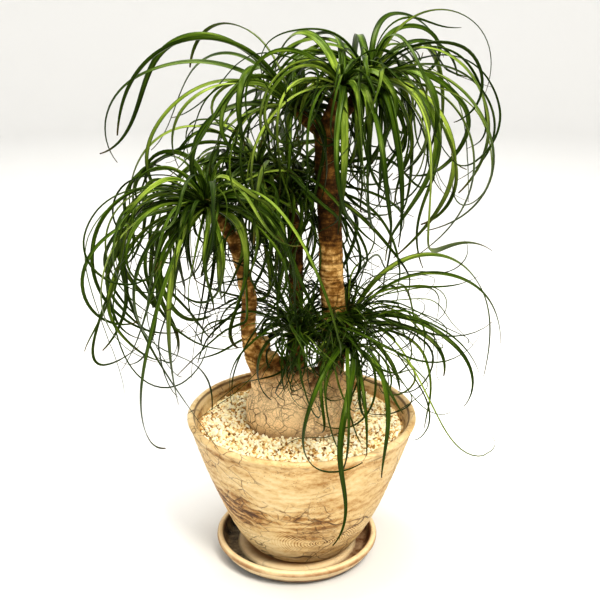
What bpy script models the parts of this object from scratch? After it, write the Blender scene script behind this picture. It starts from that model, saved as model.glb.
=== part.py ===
"""Potted ponytail palm: three woody stems on a swollen foot, in a stoneware pot on its saucer.

Units are metres and +Z is up. The origin lies on the saucer's flat underside, below the pot's centre.
"""

import math
import random
from collections import namedtuple

import bmesh
import bpy
from mathutils import Vector
from mathutils.bvhtree import BVHTree

# ---------------------------------------------------------------- driving dimensions
GAP = 0.0003  # between pieces that touch
TURN_STEPS = 48

SAUCER_OFFSET = -0.005  # the pot stands a little off the saucer's centre
SAUCER_RADIUS = 0.091
SAUCER_HEIGHT = 0.022
SAUCER_FOOT_RADIUS = 0.072
SAUCER_STEP_RADIUS = 0.066  # raised middle that the pot stands on
SAUCER_FLOOR = 0.0065
SAUCER_STEP_HEIGHT = 0.0097
SAUCER_LIP = 0.008

POT_FOOT_Z = SAUCER_STEP_HEIGHT + GAP
POT_RIM_RADIUS = 0.125
POT_RIM_Z = 0.169
POT_WALL = 0.008
POT_FOOT_RADIUS = 0.052
POT_FLARE = 0.65  # 1 would be a straight cone, less is a rounder belly
POT_OUTLINE_STEPS = 11
POT_FLOOR_Z = 0.021  # top of the pot's floor
POT_FLOOR_FILLET = 0.006
POT_INNER_TOP = POT_RIM_Z - 0.007
INNER_HEIGHTS = (POT_FLOOR_Z, 0.028, 0.040, 0.058, 0.085, 0.120, POT_INNER_TOP)  # corners of the inner wall
LIP_STEPS = 6
FOOT_RING_WIDTH = 0.008
FOOT_RING_DEPTH = 0.003
DRAIN_RADIUS = 0.010

STONES_TOP = 0.042
SOIL_TOP = 0.1445
GRAVEL_TOP = 0.155
FOOT_CLEARANCE = 0.0012  # allowance round the foot in the soil and the gravel

LEAF_WIDTH = 0.0075
LEAF_THICKNESS = 0.0012
LEAF_SEGMENTS = 12
LEAF_START = 0.0085  # a blade begins this far from the middle of its crown
LEAF_TIP = 0.4  # share of the width that is left at the tip
LEAF_ROOM = 0.0005  # clearance kept round a blade
LEAF_BASE_ROOM = 0.0002  # and round its first sections, where the blades crowd together
LEAF_BASE_SECTIONS = 2
LEAF_FINE_STEPS = 4  # steps of a blade's line for each of its sections
LEAF_POT_ROOM = 0.006  # clearance of a blade from the pot, the gravel and the foot
STEM_ROOM = 0.0008  # clearance of a blade from a stem, whose tube is also drawn this much wider:
STEM_ROOM_SHARE = 1.15
CROWN_RADIUS = 0.0065

# A blade that would touch another is turned and lifted by degrees, so many times at most.
SETTLE_ATTEMPTS = 40
SETTLE_TURN = 3
SETTLE_LIFT = 2
SETTLE_LIFTS = 5

# Spans from which the shape of a crown's extra blades is drawn.
EXTRA_RISE = (35, 60)
EXTRA_DROOP = (125, 165)
EXTRA_BEND = (0.8, 1.1)
EXTRA_TURN = (-20, 20)

# A blade leaves its crown at an azimuth (0 is +X, 90 is +Y) and a rise above level, in degrees.
# It droops by so many degrees along its length, earlier where bend is small. Sway turns it sideways
# and flick lifts its last part.
Leaf = namedtuple("Leaf", "azimuth rise droop length bend sway flick")
Crown = namedtuple("Crown", "hub leaves extra_azimuths extra_length")

CROWNS = {
    "left": Crown((-0.0935, -0.030, 0.403), [
        Leaf(155, 50, 200, 0.42, 0.5, -35, -15),
        Leaf(195, 45, 190, 0.27, 0.7, 0, -5),
        Leaf(225, 15, 140, 0.27, 0.9, -10, -30),
        Leaf(235, -5, 70, 0.19, 0.5, -25, 25),
        Leaf(255, -15, 180, 0.33, 0.8, 25, 110),
        Leaf(290, -10, 130, 0.13, 0.9, -25, 5),
        Leaf(140, 70, 140, 0.14, 1.0, 5, 10),
        Leaf(160, 15, 180, 0.25, 1.0, -15, 15),
        Leaf(250, 5, 105, 0.24, 0.6, 10, -15),
        Leaf(315, 5, 140, 0.14, 1.0, -40, 5),
    ], (85,), 0.22),
    "upper_left": Crown((-0.006, 0.004, 0.494), [
        Leaf(160, 70, 115, 0.19, 1.2, -15, -35),
        Leaf(170, 55, 180, 0.30, 1.1, 0, 110),
        Leaf(190, 60, 125, 0.26, 0.9, -20, -20),
        Leaf(185, 40, 90, 0.27, 0.8, 5, -80),
        Leaf(150, 45, 150, 0.26, 1.0, 5, 65),
        Leaf(210, 35, 100, 0.19, 1.0, -10, -50),
        Leaf(225, 15, 65, 0.14, 0.9, -10, -40),
        Leaf(235, 45, 175, 0.19, 1.4, 30, -15),
    ], (120, 90), 0.25),
    "upper_front": Crown((0.0388, -0.018, 0.520), [
        Leaf(270, 5, 150, 0.20, 0.7, 5, 30),
        Leaf(215, 55, 170, 0.20, 0.7, -30, -40),
        Leaf(85, 55, 80, 0.19, 0.7, 80, -30),
        Leaf(300, 15, 150, 0.13, 1.0, -55, 0),
    ], (125,), 0.24),
    "upper_right": Crown((0.068, 0.018, 0.521), [
        Leaf(80, 80, 110, 0.19, 0.7, -80, -45),
        Leaf(30, 70, 155, 0.22, 1.0, 0, -25),
        Leaf(320, 65, 160, 0.25, 0.6, 15, -40),
        Leaf(300, 20, 135, 0.30, 1.0, 65, -55),
        Leaf(330, 10, 135, 0.27, 0.8, 10, -15),
        Leaf(295, 5, 230, 0.44, 1.0, -80, 80),
        Leaf(280, 10, 95, 0.23, 0.7, 15, -25),
        Leaf(350, 0, 90, 0.21, 0.6, 15, -75),
        Leaf(315, 20, 165, 0.17, 0.5, -45, 75),
        Leaf(345, 25, 130, 0.23, 0.9, 20, -55),
    ], (50, 95), 0.26),
    "back": Crown((-0.046, 0.048, 0.428), [], (80, 130, 200), 0.22),
    "middle": Crown((-0.012, 0.028, 0.402), [], (60, 250), 0.19),
    "low_right": Crown((0.0494, 0.002, 0.268), [
        Leaf(20, 65, 155, 0.32, 0.8, 0, -10),
        Leaf(5, 55, 110, 0.25, 0.8, 25, -30),
        Leaf(340, 30, 85, 0.20, 0.7, 0, -70),
        Leaf(330, 15, 65, 0.14, 1.2, 15, -50),
        Leaf(310, -10, 60, 0.10, 1.3, 20, -10),
    ], (), 0.2),
    "low_front": Crown((0.049, -0.026, 0.254), [
        Leaf(275, 10, 165, 0.27, 1.1, -80, 110),
        Leaf(262, 25, 145, 0.27, 1.0, -70, -90),
        Leaf(285, 25, 150, 0.20, 0.8, 5, 25),
        Leaf(295, 15, 70, 0.11, 0.7, 10, 20),
    ], (), 0.2),
    "low_middle": Crown((-0.002, -0.018, 0.258), [], (225, 120), 0.13),
}

# Woody stems: centreline points with the radius at each, from the foot up.
STEMS = {
    "left": [(-0.032, -0.002, 0.176, 0.0150), (-0.042, -0.008, 0.212, 0.0110), (-0.052, -0.013, 0.243, 0.0092),
             (-0.0560, -0.016, 0.273, 0.0084), (-0.0540, -0.019, 0.302, 0.0082), (-0.0590, -0.020, 0.328, 0.0078),
             (-0.0640, -0.020, 0.356, 0.0076), (-0.0655, -0.020, 0.374, 0.0074)],
    "left_fork": [(-0.0640, -0.020, 0.352, 0.0062), (-0.0740, -0.024, 0.376, 0.0060),
                  (-0.0860, -0.028, 0.394, 0.0060), (-0.0935, -0.030, 0.403, 0.0058)],
    "pruned_stub": [(-0.036, -0.004, 0.196, 0.0105), (-0.0385, -0.014, 0.232, 0.0072),
                    (-0.0395, -0.018, 0.2600, 0.0064)],
    "middle": [(-0.004, 0.014, 0.176, 0.0140), (-0.005, 0.019, 0.212, 0.0100), (-0.0055, 0.022, 0.250, 0.0085),
               (-0.0060, 0.026, 0.300, 0.0080), (-0.0062, 0.030, 0.348, 0.0078), (-0.0100, 0.029, 0.385, 0.0068),
               (-0.012, 0.028, 0.402, 0.0058)],
    "middle_fork": [(-0.0075, 0.030, 0.362, 0.0058), (-0.0220, 0.037, 0.392, 0.0054),
                    (-0.0400, 0.046, 0.418, 0.0056), (-0.046, 0.048, 0.428, 0.0058)],
    "right": [(0.027, 0.003, 0.170, 0.0210), (0.030, 0.002, 0.205, 0.0160), (0.0340, 0.000, 0.240, 0.0136),
              (0.0345, 0.000, 0.275, 0.0130), (0.0310, 0.000, 0.323, 0.0128), (0.0300, 0.000, 0.362, 0.0124),
              (0.0270, 0.000, 0.407, 0.0120), (0.0245, 0.000, 0.454, 0.0116), (0.0235, 0.000, 0.484, 0.0100)],
    "right_fork_left": [(0.0240, 0.000, 0.468, 0.0070), (0.0060, 0.003, 0.483, 0.0062),
                        (-0.006, 0.004, 0.494, 0.0058)],
    "right_fork_front": [(0.0240, 0.000, 0.476, 0.0080), (0.0320, -0.009, 0.500, 0.0066),
                         (0.0388, -0.018, 0.520, 0.0060)],
    "right_fork_right": [(0.0240, 0.000, 0.472, 0.0080), (0.0480, 0.010, 0.498, 0.0068),
                         (0.068, 0.018, 0.521, 0.0060)],
    "low_shoot_right": [(0.0345, 0.000, 0.256, 0.0060), (0.0420, 0.001, 0.264, 0.0052),
                        (0.0494, 0.002, 0.268, 0.0050)],
    "low_shoot_front": [(0.0330, -0.004, 0.232, 0.0070), (0.0420, -0.016, 0.246, 0.0056),
                        (0.049, -0.026, 0.254, 0.0050)],
    "low_shoot_middle": [(-0.0020, 0.002, 0.196, 0.0090), (-0.002, -0.010, 0.232, 0.0060),
                         (-0.002, -0.018, 0.258, 0.0050)],
}
TUBE_SIDES = 8
STEM_POINTS_BETWEEN = 3  # extra points that round the line between two given ones
STEM_BEVEL_STEPS = 3

# Swellings of the foot: centre and half-axes.
BULGES = [
    ((-0.018, 0.004, 0.168), (0.043, 0.044, 0.047)),
    ((0.025, 0.006, 0.163), (0.033, 0.040, 0.048)),
    ((0.002, 0.008, 0.146), (0.056, 0.048, 0.040)),
    ((-0.034, -0.004, 0.203), (0.021, 0.019, 0.019)),
]
BULGE_SEGMENTS = 32
WOOD_VOXEL = 0.0026
WOOD_DETAIL = 0.10  # share of the faces kept after the wood is fused into one body


# ---------------------------------------------------------------- scene helpers
def new_collection(name):
    """A collection of this name under the scene."""
    collection = bpy.data.collections.new(name)
    bpy.context.scene.collection.children.link(collection)
    return collection


def add_object(name, data, collection, material=None):
    """Links a new object that holds the data."""
    piece = bpy.data.objects.new(name, data)
    collection.objects.link(piece)
    if material:
        data.materials.append(material)
    return piece


def principled(name, colour, roughness):
    """A plain non-metallic material."""
    material = bpy.data.materials.new(name)
    material.use_nodes = True
    shader = material.node_tree.nodes["Principled BSDF"]
    shader.inputs["Base Color"].default_value = (*colour, 1.0)
    shader.inputs["Roughness"].default_value = roughness
    shader.inputs["Metallic"].default_value = 0.0
    return material


def turned(name, outline, collection, material, centre=(0.0, 0.0)):
    """A solid of revolution about Z from a half outline of (radius, height) points, top to bottom outside."""
    mesh = bpy.data.meshes.new(name)
    points = [(radius, 0.0, height) for radius, height in outline]
    ends_on_axis = outline[0][0] == 0.0 and outline[-1][0] == 0.0
    edges = [(i, i + 1) for i in range(len(points) - 1)]
    if not ends_on_axis:
        edges.append((len(points) - 1, 0))
    mesh.from_pydata(points, edges, [])
    piece = add_object(name, mesh, collection, material)
    piece.location = (*centre, 0.0)
    screw = piece.modifiers.new("turn", "SCREW")
    screw.steps = TURN_STEPS
    screw.render_steps = TURN_STEPS
    screw.use_merge_vertices = True
    screw.merge_threshold = 0.00005
    return piece


def arc(centre, radius, start, end, steps):
    """Points of a round stretch of an outline, angles in degrees."""
    angles = [math.radians(start + (end - start) * i / steps) for i in range(steps + 1)]
    return [(centre[0] + radius * math.cos(a), centre[1] + radius * math.sin(a)) for a in angles]


# ---------------------------------------------------------------- pot and saucer
def pot_outer_radius(height):
    """The pot flares from its foot, quickly at first and then more steeply up to the rim."""
    share = max(0.0, (height - POT_FOOT_Z) / (POT_RIM_Z - POT_FOOT_Z))
    return POT_FOOT_RADIUS + (POT_RIM_RADIUS - POT_FOOT_RADIUS) * share ** POT_FLARE


def pot_inner_radius(height):
    """The wall grows thicker towards the floor."""
    share = (POT_RIM_Z - height) / (POT_RIM_Z - POT_FLOOR_Z)
    return pot_outer_radius(height) - POT_WALL - POT_FLOOR_FILLET * share ** 4


def make_pot(collection):
    """A thick stoneware bowl with a rounded lip, a foot ring and a drain hole."""
    lip = POT_WALL / 2
    below_lip = POT_RIM_Z - 1.6 * lip
    shares = [1 - i / POT_OUTLINE_STEPS for i in range(POT_OUTLINE_STEPS + 1)]
    outline = arc((POT_RIM_RADIUS - lip, POT_RIM_Z - lip), lip, 165, 0, LIP_STEPS)
    for share in shares:
        height = POT_FOOT_Z + (below_lip - POT_FOOT_Z) * share ** 1.8
        outline.append((pot_outer_radius(height), height))
    foot_inside = POT_FOOT_RADIUS - FOOT_RING_WIDTH
    recess = POT_FOOT_Z + FOOT_RING_DEPTH
    outline += [(foot_inside, POT_FOOT_Z), (foot_inside - 0.002, recess)]
    outline += [(DRAIN_RADIUS, recess), (DRAIN_RADIUS, POT_FLOOR_Z)]
    outline += [(pot_inner_radius(z), z) for z in INNER_HEIGHTS]
    return turned("pot", outline, collection, principled("pot_stoneware", (0.72, 0.56, 0.36), 0.55))


def make_saucer(collection):
    """A shallow dish with a thick lip, a gutter and a raised middle under the pot."""
    lip = SAUCER_LIP / 2
    outline = [(0.0, SAUCER_STEP_HEIGHT), (SAUCER_STEP_RADIUS - 0.002, SAUCER_STEP_HEIGHT)]
    outline += [(SAUCER_STEP_RADIUS, SAUCER_STEP_HEIGHT - 0.001), (SAUCER_STEP_RADIUS + 0.001, SAUCER_FLOOR)]
    outline += [(SAUCER_RADIUS - SAUCER_LIP - 0.005, SAUCER_FLOOR + 0.001)]
    outline += arc((SAUCER_RADIUS - lip, SAUCER_HEIGHT - lip), lip, 160, -20, LIP_STEPS)
    outline += [(SAUCER_RADIUS - 0.006, 0.008), (SAUCER_FOOT_RADIUS + 0.002, 0.0), (0.0, 0.0)]
    material = principled("saucer_stoneware", (0.60, 0.47, 0.32), 0.55)
    return turned("saucer", outline, collection, material, (SAUCER_OFFSET, 0.0))


# ---------------------------------------------------------------- fillings
def filling_outline(top, bottom):
    """Outline of a layer that fills the pot between two heights, a gap inside its wall."""
    side = [top] + [z for z in reversed(INNER_HEIGHTS) if bottom < z < top] + [bottom]
    return [(0.0, top)] + [(straight_inner_radius(z) - 1.5 * GAP, z) for z in side] + [(0.0, bottom)]


def straight_inner_radius(height):
    """Inner radius of the pot as built, with straight runs between the wall's corners."""
    for low, high in zip(INNER_HEIGHTS, INNER_HEIGHTS[1:]):
        if low <= height <= high:
            share = (height - low) / (high - low)
            return pot_inner_radius(low) * (1 - share) + pot_inner_radius(high) * share
    return pot_inner_radius(height)


def make_fillings(collection, cutters):
    """Drainage stones, potting soil and the gravel on top, the upper two cut to clear the foot."""
    stones = turned("drainage_stones", filling_outline(STONES_TOP, POT_FLOOR_Z + GAP), collection,
                    principled("drainage_stone", (0.35, 0.30, 0.25), 0.9))
    soil = turned("potting_soil", filling_outline(SOIL_TOP, STONES_TOP + GAP), collection,
                  principled("soil", (0.09, 0.06, 0.04), 0.95))
    gravel = turned("top_gravel", filling_outline(GRAVEL_TOP, SOIL_TOP + GAP), collection,
                    principled("pumice_gravel", (0.78, 0.66, 0.47), 0.9))
    for layer in (soil, gravel):
        for cutter in cutters:
            cut = layer.modifiers.new("clear_" + cutter.name, "BOOLEAN")
            cut.operation = "DIFFERENCE"
            cut.object = cutter
    return stones, soil, gravel


def make_foot_cutters(collection):
    """The foot's swellings, grown by a small allowance, to cut the soil and the gravel."""
    cutters = []
    for index, (centre, half_axes) in enumerate(BULGES[:3]):
        grown = [axis + FOOT_CLEARANCE for axis in half_axes]
        cutters.append(make_ellipsoid(f"foot_clearance_{index + 1}", centre, grown, collection))
    for cutter in cutters:
        cutter.hide_render = True
        cutter.display_type = "WIRE"
    return cutters


# ---------------------------------------------------------------- wood
def make_ellipsoid(name, centre, half_axes, collection):
    """A closed egg shape."""
    mesh = bpy.data.meshes.new(name)
    shape = bmesh.new()
    bmesh.ops.create_uvsphere(shape, u_segments=BULGE_SEGMENTS, v_segments=BULGE_SEGMENTS // 2, radius=1.0)
    bmesh.ops.scale(shape, vec=half_axes, verts=shape.verts)
    bmesh.ops.translate(shape, vec=centre, verts=shape.verts)
    shape.to_mesh(mesh)
    shape.free()
    return add_object(name, mesh, collection)


def smooth_line(points, between):
    """Catmull-Rom points through the given ones; every number of a point is carried along."""
    line = []
    for i in range(len(points) - 1):
        before = points[max(i - 1, 0)]
        after = points[min(i + 2, len(points) - 1)]
        for k in range(between + 1):
            t = k / (between + 1)
            line.append(tuple(
                0.5 * (2 * b + (c - a) * t + (2 * a - 5 * b + 4 * c - d) * t ** 2
                       + (3 * b - a - 3 * c + d) * t ** 3)
                for a, b, c, d in zip(before, points[i], points[i + 1], after)))
    line.append(tuple(points[-1]))
    return line


def make_stem(name, points, collection):
    """A round stem whose thickness follows its points."""
    curve = bpy.data.curves.new(name, "CURVE")
    curve.dimensions = "3D"
    curve.bevel_depth = 1.0
    curve.bevel_resolution = STEM_BEVEL_STEPS
    curve.use_fill_caps = True
    line = smooth_line(points, STEM_POINTS_BETWEEN)
    spline = curve.splines.new("POLY")
    spline.points.add(len(line) - 1)
    for point, (x, y, z, radius) in zip(spline.points, line):
        point.co = (x, y, z, 1.0)
        point.radius = radius
    return add_object(name, curve, collection)


def evaluated_mesh(piece):
    """The object's mesh with its modifiers applied."""
    graph = bpy.context.evaluated_depsgraph_get()
    return bpy.data.meshes.new_from_object(piece.evaluated_get(graph))


def make_wood(collection, scraps):
    """Foot, stems, forks and shoots grown together: loose shapes fused into one body."""
    shapes = [make_ellipsoid(f"bulge_{i + 1}", *bulge, scraps) for i, bulge in enumerate(BULGES)]
    shapes += [make_stem("stem_" + name, points, scraps) for name, points in STEMS.items()]
    for name, crown in CROWNS.items():
        shapes.append(make_ellipsoid("bud_" + name, crown.hub, (CROWN_RADIUS,) * 3, scraps))
    merged = bmesh.new()
    for shape in shapes:
        mesh = evaluated_mesh(shape)
        merged.from_mesh(mesh)
        bpy.data.meshes.remove(mesh)
        bpy.data.objects.remove(shape)
    bmesh.ops.remove_doubles(merged, verts=merged.verts, dist=0.00001)
    mesh = bpy.data.meshes.new("caudex_and_trunks")
    merged.to_mesh(mesh)
    merged.free()
    wood = add_object("caudex_and_trunks", mesh, collection, principled("bark", (0.46, 0.33, 0.19), 0.85))
    fuse = wood.modifiers.new("fuse", "REMESH")
    fuse.mode = "VOXEL"
    fuse.voxel_size = WOOD_VOXEL
    soften = wood.modifiers.new("soften", "SMOOTH")
    soften.factor = 0.5
    soften.iterations = 2
    thin_out = wood.modifiers.new("thin_out", "DECIMATE")
    thin_out.ratio = WOOD_DETAIL
    return wood


# ---------------------------------------------------------------- leaves
def leaf_line(hub, leaf, segments):
    """Centreline of a blade from near its crown to its tip."""
    points = []
    spot = Vector(hub)
    steps = segments * LEAF_FINE_STEPS
    step = leaf.length / steps
    for i in range(steps):
        t = (i + 0.5) / steps
        tip = max(0.0, (t - 0.6) / 0.4) ** 1.5
        fallen = leaf.droop * (1 - math.cos(math.pi * t ** leaf.bend)) / 2
        pitch = math.radians(leaf.rise - fallen + leaf.flick * tip)
        heading = math.radians(leaf.azimuth + leaf.sway * t ** 1.5)
        level = math.cos(pitch)
        points.append(spot.copy())
        spot += step * Vector((level * math.cos(heading), level * math.sin(heading), math.sin(pitch)))
    points.append(spot)
    start = next(i for i, point in enumerate(points) if (point - points[0]).length >= LEAF_START)
    kept = points[start:]
    return [kept[round(k * (len(kept) - 1) / segments)] for k in range(segments + 1)]


def width_share(t):
    """Width along a blade: full over most of it, narrowing to the tip."""
    return LEAF_TIP + (1 - LEAF_TIP) * (1 - t ** 3) * min(1.0, 0.8 + 2 * t)


def sleeve_tree(corners, sides):
    """A search tree over the sides of a sleeve, given its rings of corners one after another."""
    faces = []
    for start in range(0, len(corners) - sides, sides):
        for k in range(sides):
            after = (k + 1) % sides
            faces.append((start + k, start + after, start + sides + after, start + sides + k))
    return BVHTree.FromPolygons(corners, faces)


def blade_room(line, room, skip):
    """The blade's own shape with some room round it, without its first few sections."""
    corners = []
    side = None
    for i in range(skip, len(line)):
        ahead = (line[min(i + 1, len(line) - 1)] - line[max(i - 1, 0)]).normalized()
        if side is None:
            side = ahead.cross(Vector((0, 0, 1))).normalized()
        side = (side - ahead * side.dot(ahead)).normalized()
        up = side.cross(ahead)
        share = width_share(i / (len(line) - 1)) / 2
        wide = side * (LEAF_WIDTH * share + room)
        thick = up * (LEAF_THICKNESS * share + room)
        corners += [line[i] + wide, line[i] + thick, line[i] - wide, line[i] - thick]
    return sleeve_tree(corners, 4)


def stem_room(points):
    """A tube round a stem, a little wider than the stem."""
    corners = []
    for x, y, z, radius in smooth_line(points, STEM_POINTS_BETWEEN):
        reach = radius * STEM_ROOM_SHARE + STEM_ROOM
        for k in range(TUBE_SIDES):
            angle = 2 * math.pi * k / TUBE_SIDES
            corners.append(Vector((x + math.cos(angle) * reach, y + math.sin(angle) * reach, z)))
    return sleeve_tree(corners, TUBE_SIDES)


def hits_pot_or_foot(line):
    """Whether a blade would touch the pot, the gravel, the swollen foot or what the saucer stands on."""
    margin = LEAF_POT_ROOM
    for point in line:
        from_axis = math.hypot(point.x, point.y)
        if point.z > POT_RIM_Z + margin:
            continue
        inside = from_axis < POT_RIM_RADIUS - POT_WALL - margin and point.z > GRAVEL_TOP + margin
        outside = from_axis > pot_outer_radius(point.z) + margin and point.z > margin
        if not (inside or outside):
            return True
    for centre, half_axes in BULGES:
        for point in line:
            scaled = [(at - mid) / (axis + margin) for at, mid, axis in zip(point, centre, half_axes)]
            if Vector(scaled).length < 1:
                return True
    return False


def settled_leaves():
    """Every crown's blades, each turned about its crown by a few degrees until it is clear of the others."""
    wood = [stem_room(points) for points in STEMS.values()]
    grown = []
    taken = []
    for number, (name, crown) in enumerate(CROWNS.items()):
        wild = random.Random(number)
        leaves = list(crown.leaves)
        for azimuth in crown.extra_azimuths:
            leaves.append(Leaf(azimuth, wild.uniform(*EXTRA_RISE), wild.uniform(*EXTRA_DROOP),
                               crown.extra_length, wild.uniform(*EXTRA_BEND), wild.uniform(*EXTRA_TURN),
                               wild.uniform(*EXTRA_TURN)))
        for index, leaf in enumerate(leaves):
            for attempt in range(SETTLE_ATTEMPTS):
                nudge = (attempt + 1) // 2 * (SETTLE_TURN if attempt % 2 else -SETTLE_TURN)
                lift = attempt % SETTLE_LIFTS * SETTLE_LIFT
                tried = leaf._replace(azimuth=leaf.azimuth + nudge, rise=leaf.rise + lift)
                line = leaf_line(crown.hub, tried, LEAF_SEGMENTS)
                slim = blade_room(line, LEAF_BASE_ROOM, 0)
                roomy = blade_room(line, LEAF_ROOM, LEAF_BASE_SECTIONS)
                if hits_pot_or_foot(line[1:]) or any(slim.overlap(a) or roomy.overlap(b) for a, b in taken):
                    continue
                if not any(slim.overlap(stem) or roomy.overlap(stem) for stem in wood):
                    break
            taken.append((slim, roomy))
            grown.append((f"leaf_{name}_{index + 1:02d}", line))
    return grown


def make_leaf_section(guides):
    """The blade's cross-section, a flat lens one unit wide."""
    curve = bpy.data.curves.new("leaf_section", "CURVE")
    curve.dimensions = "2D"
    spline = curve.splines.new("POLY")
    spline.points.add(3)
    flat = LEAF_THICKNESS / LEAF_WIDTH / 2
    for point, (across, up) in zip(spline.points, ((0.5, 0), (0, -flat), (-0.5, 0), (0, flat))):
        point.co = (across, up, 0.0, 1.0)
    spline.use_cyclic_u = True
    return add_object("leaf_section", curve, guides)


def make_leaf(name, line, section, collection, material):
    """One blade swept along its centreline."""
    curve = bpy.data.curves.new(name, "CURVE")
    curve.dimensions = "3D"
    curve.bevel_mode = "OBJECT"
    curve.bevel_object = section
    curve.use_fill_caps = True
    curve.twist_mode = "MINIMUM"
    spline = curve.splines.new("POLY")
    spline.points.add(len(line) - 1)
    for index, (point, spot) in enumerate(zip(spline.points, line)):
        point.co = (*spot, 1.0)
        point.radius = LEAF_WIDTH * width_share(index / (len(line) - 1))
    return add_object(name, curve, collection, material)


# ---------------------------------------------------------------- the whole plant
def main():
    for old in list(bpy.data.objects):
        bpy.data.objects.remove(old, do_unlink=True)
    plant = new_collection("potted_ponytail_palm")
    guides = new_collection("cutters_and_guides")
    make_saucer(plant)
    make_pot(plant)
    make_fillings(plant, make_foot_cutters(guides))
    make_wood(plant, guides)
    section = make_leaf_section(guides)
    section.hide_render = True
    section.display_type = "WIRE"
    for name, line in settled_leaves():
        green = principled(name + "_green", (0.12, 0.30, 0.04), 0.45)
        make_leaf(name, line, section, plant, green)


main()
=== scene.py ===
"""Looks of the potted ponytail palm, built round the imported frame. Metres, +Z up."""

import math
import random
from collections import namedtuple

import bmesh
import bpy
import numpy as np
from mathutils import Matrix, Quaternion, Vector, kdtree, noise
from mathutils.bvhtree import BVHTree


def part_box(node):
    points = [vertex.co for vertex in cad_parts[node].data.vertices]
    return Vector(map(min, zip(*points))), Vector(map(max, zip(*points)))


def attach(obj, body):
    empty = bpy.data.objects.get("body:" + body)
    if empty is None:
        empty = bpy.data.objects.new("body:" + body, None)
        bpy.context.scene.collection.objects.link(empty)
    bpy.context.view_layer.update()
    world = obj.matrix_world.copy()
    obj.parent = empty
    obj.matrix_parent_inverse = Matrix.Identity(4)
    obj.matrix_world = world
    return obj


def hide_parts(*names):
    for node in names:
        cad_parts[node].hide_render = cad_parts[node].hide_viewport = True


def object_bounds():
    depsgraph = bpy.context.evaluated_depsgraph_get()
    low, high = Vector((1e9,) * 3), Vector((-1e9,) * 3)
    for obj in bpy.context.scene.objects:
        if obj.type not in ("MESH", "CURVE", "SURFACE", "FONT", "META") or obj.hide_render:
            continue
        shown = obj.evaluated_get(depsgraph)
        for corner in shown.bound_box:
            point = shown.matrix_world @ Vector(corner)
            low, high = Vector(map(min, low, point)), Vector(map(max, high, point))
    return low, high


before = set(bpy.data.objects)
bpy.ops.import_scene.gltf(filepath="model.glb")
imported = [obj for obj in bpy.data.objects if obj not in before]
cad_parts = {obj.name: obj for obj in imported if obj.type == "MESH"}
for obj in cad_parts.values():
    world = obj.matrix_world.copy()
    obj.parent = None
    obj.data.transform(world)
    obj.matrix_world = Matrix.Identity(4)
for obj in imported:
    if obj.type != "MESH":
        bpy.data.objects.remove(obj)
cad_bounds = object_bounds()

# ---------------------------------------------------------------- sizes read from the frame
POT_LOW, POT_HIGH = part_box("pot")
SAUCER_LOW, SAUCER_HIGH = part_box("saucer")
GRAVEL_LOW, GRAVEL_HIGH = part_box("top_gravel")
POT_FOOT_Z = POT_LOW[2]
POT_RIM_Z = POT_HIGH[2]
POT_RIM_RADIUS = (POT_HIGH[0] - POT_LOW[0]) / 2
GRAVEL_TOP = GRAVEL_HIGH[2]
SAUCER_CENTRE = ((SAUCER_LOW[0] + SAUCER_HIGH[0]) / 2, (SAUCER_LOW[1] + SAUCER_HIGH[1]) / 2)
SAUCER_RADIUS = (SAUCER_HIGH[0] - SAUCER_LOW[0]) / 2
SAUCER_HEIGHT = SAUCER_HIGH[2]

# The rest of the pot's and saucer's shape, as in the CAD.
POT_WALL = 0.008
POT_FOOT_RADIUS = 0.052
POT_FLARE = 0.65
POT_FLOOR_Z = 0.021
POT_FLOOR_FILLET = 0.006
FOOT_RING_WIDTH = 0.008
FOOT_RING_DEPTH = 0.003
DRAIN_RADIUS = 0.010
SAUCER_FOOT_RADIUS = 0.072
SAUCER_STEP_RADIUS = 0.066
SAUCER_STEP_HEIGHT = 0.0097
SAUCER_FLOOR = 0.0065
SAUCER_LIP = 0.008
TURN_SIDES = 160  # points round a turned piece

# ---------------------------------------------------------------- the plant's habit, as in the CAD
LEAF_WIDTH = 0.0075
LEAF_THICKNESS = 0.0012
LEAF_SEGMENTS = 12
LEAF_START = 0.0085
LEAF_TIP = 0.4
LEAF_ROOM = 0.0005
SLIM_ROOM = 0.0002
SETTLING_TRIES = 40
CROWN_RADIUS = 0.0065
TUBE_SIDES = 8
STEM_POINTS_BETWEEN = 3

# azimuth, rise, droop, sway and flick in degrees; length in metres; bend below 1 droops early
Leaf = namedtuple("Leaf", "azimuth rise droop length bend sway flick")
Crown = namedtuple("Crown", "hub leaves extra_azimuths extra_length")

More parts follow.
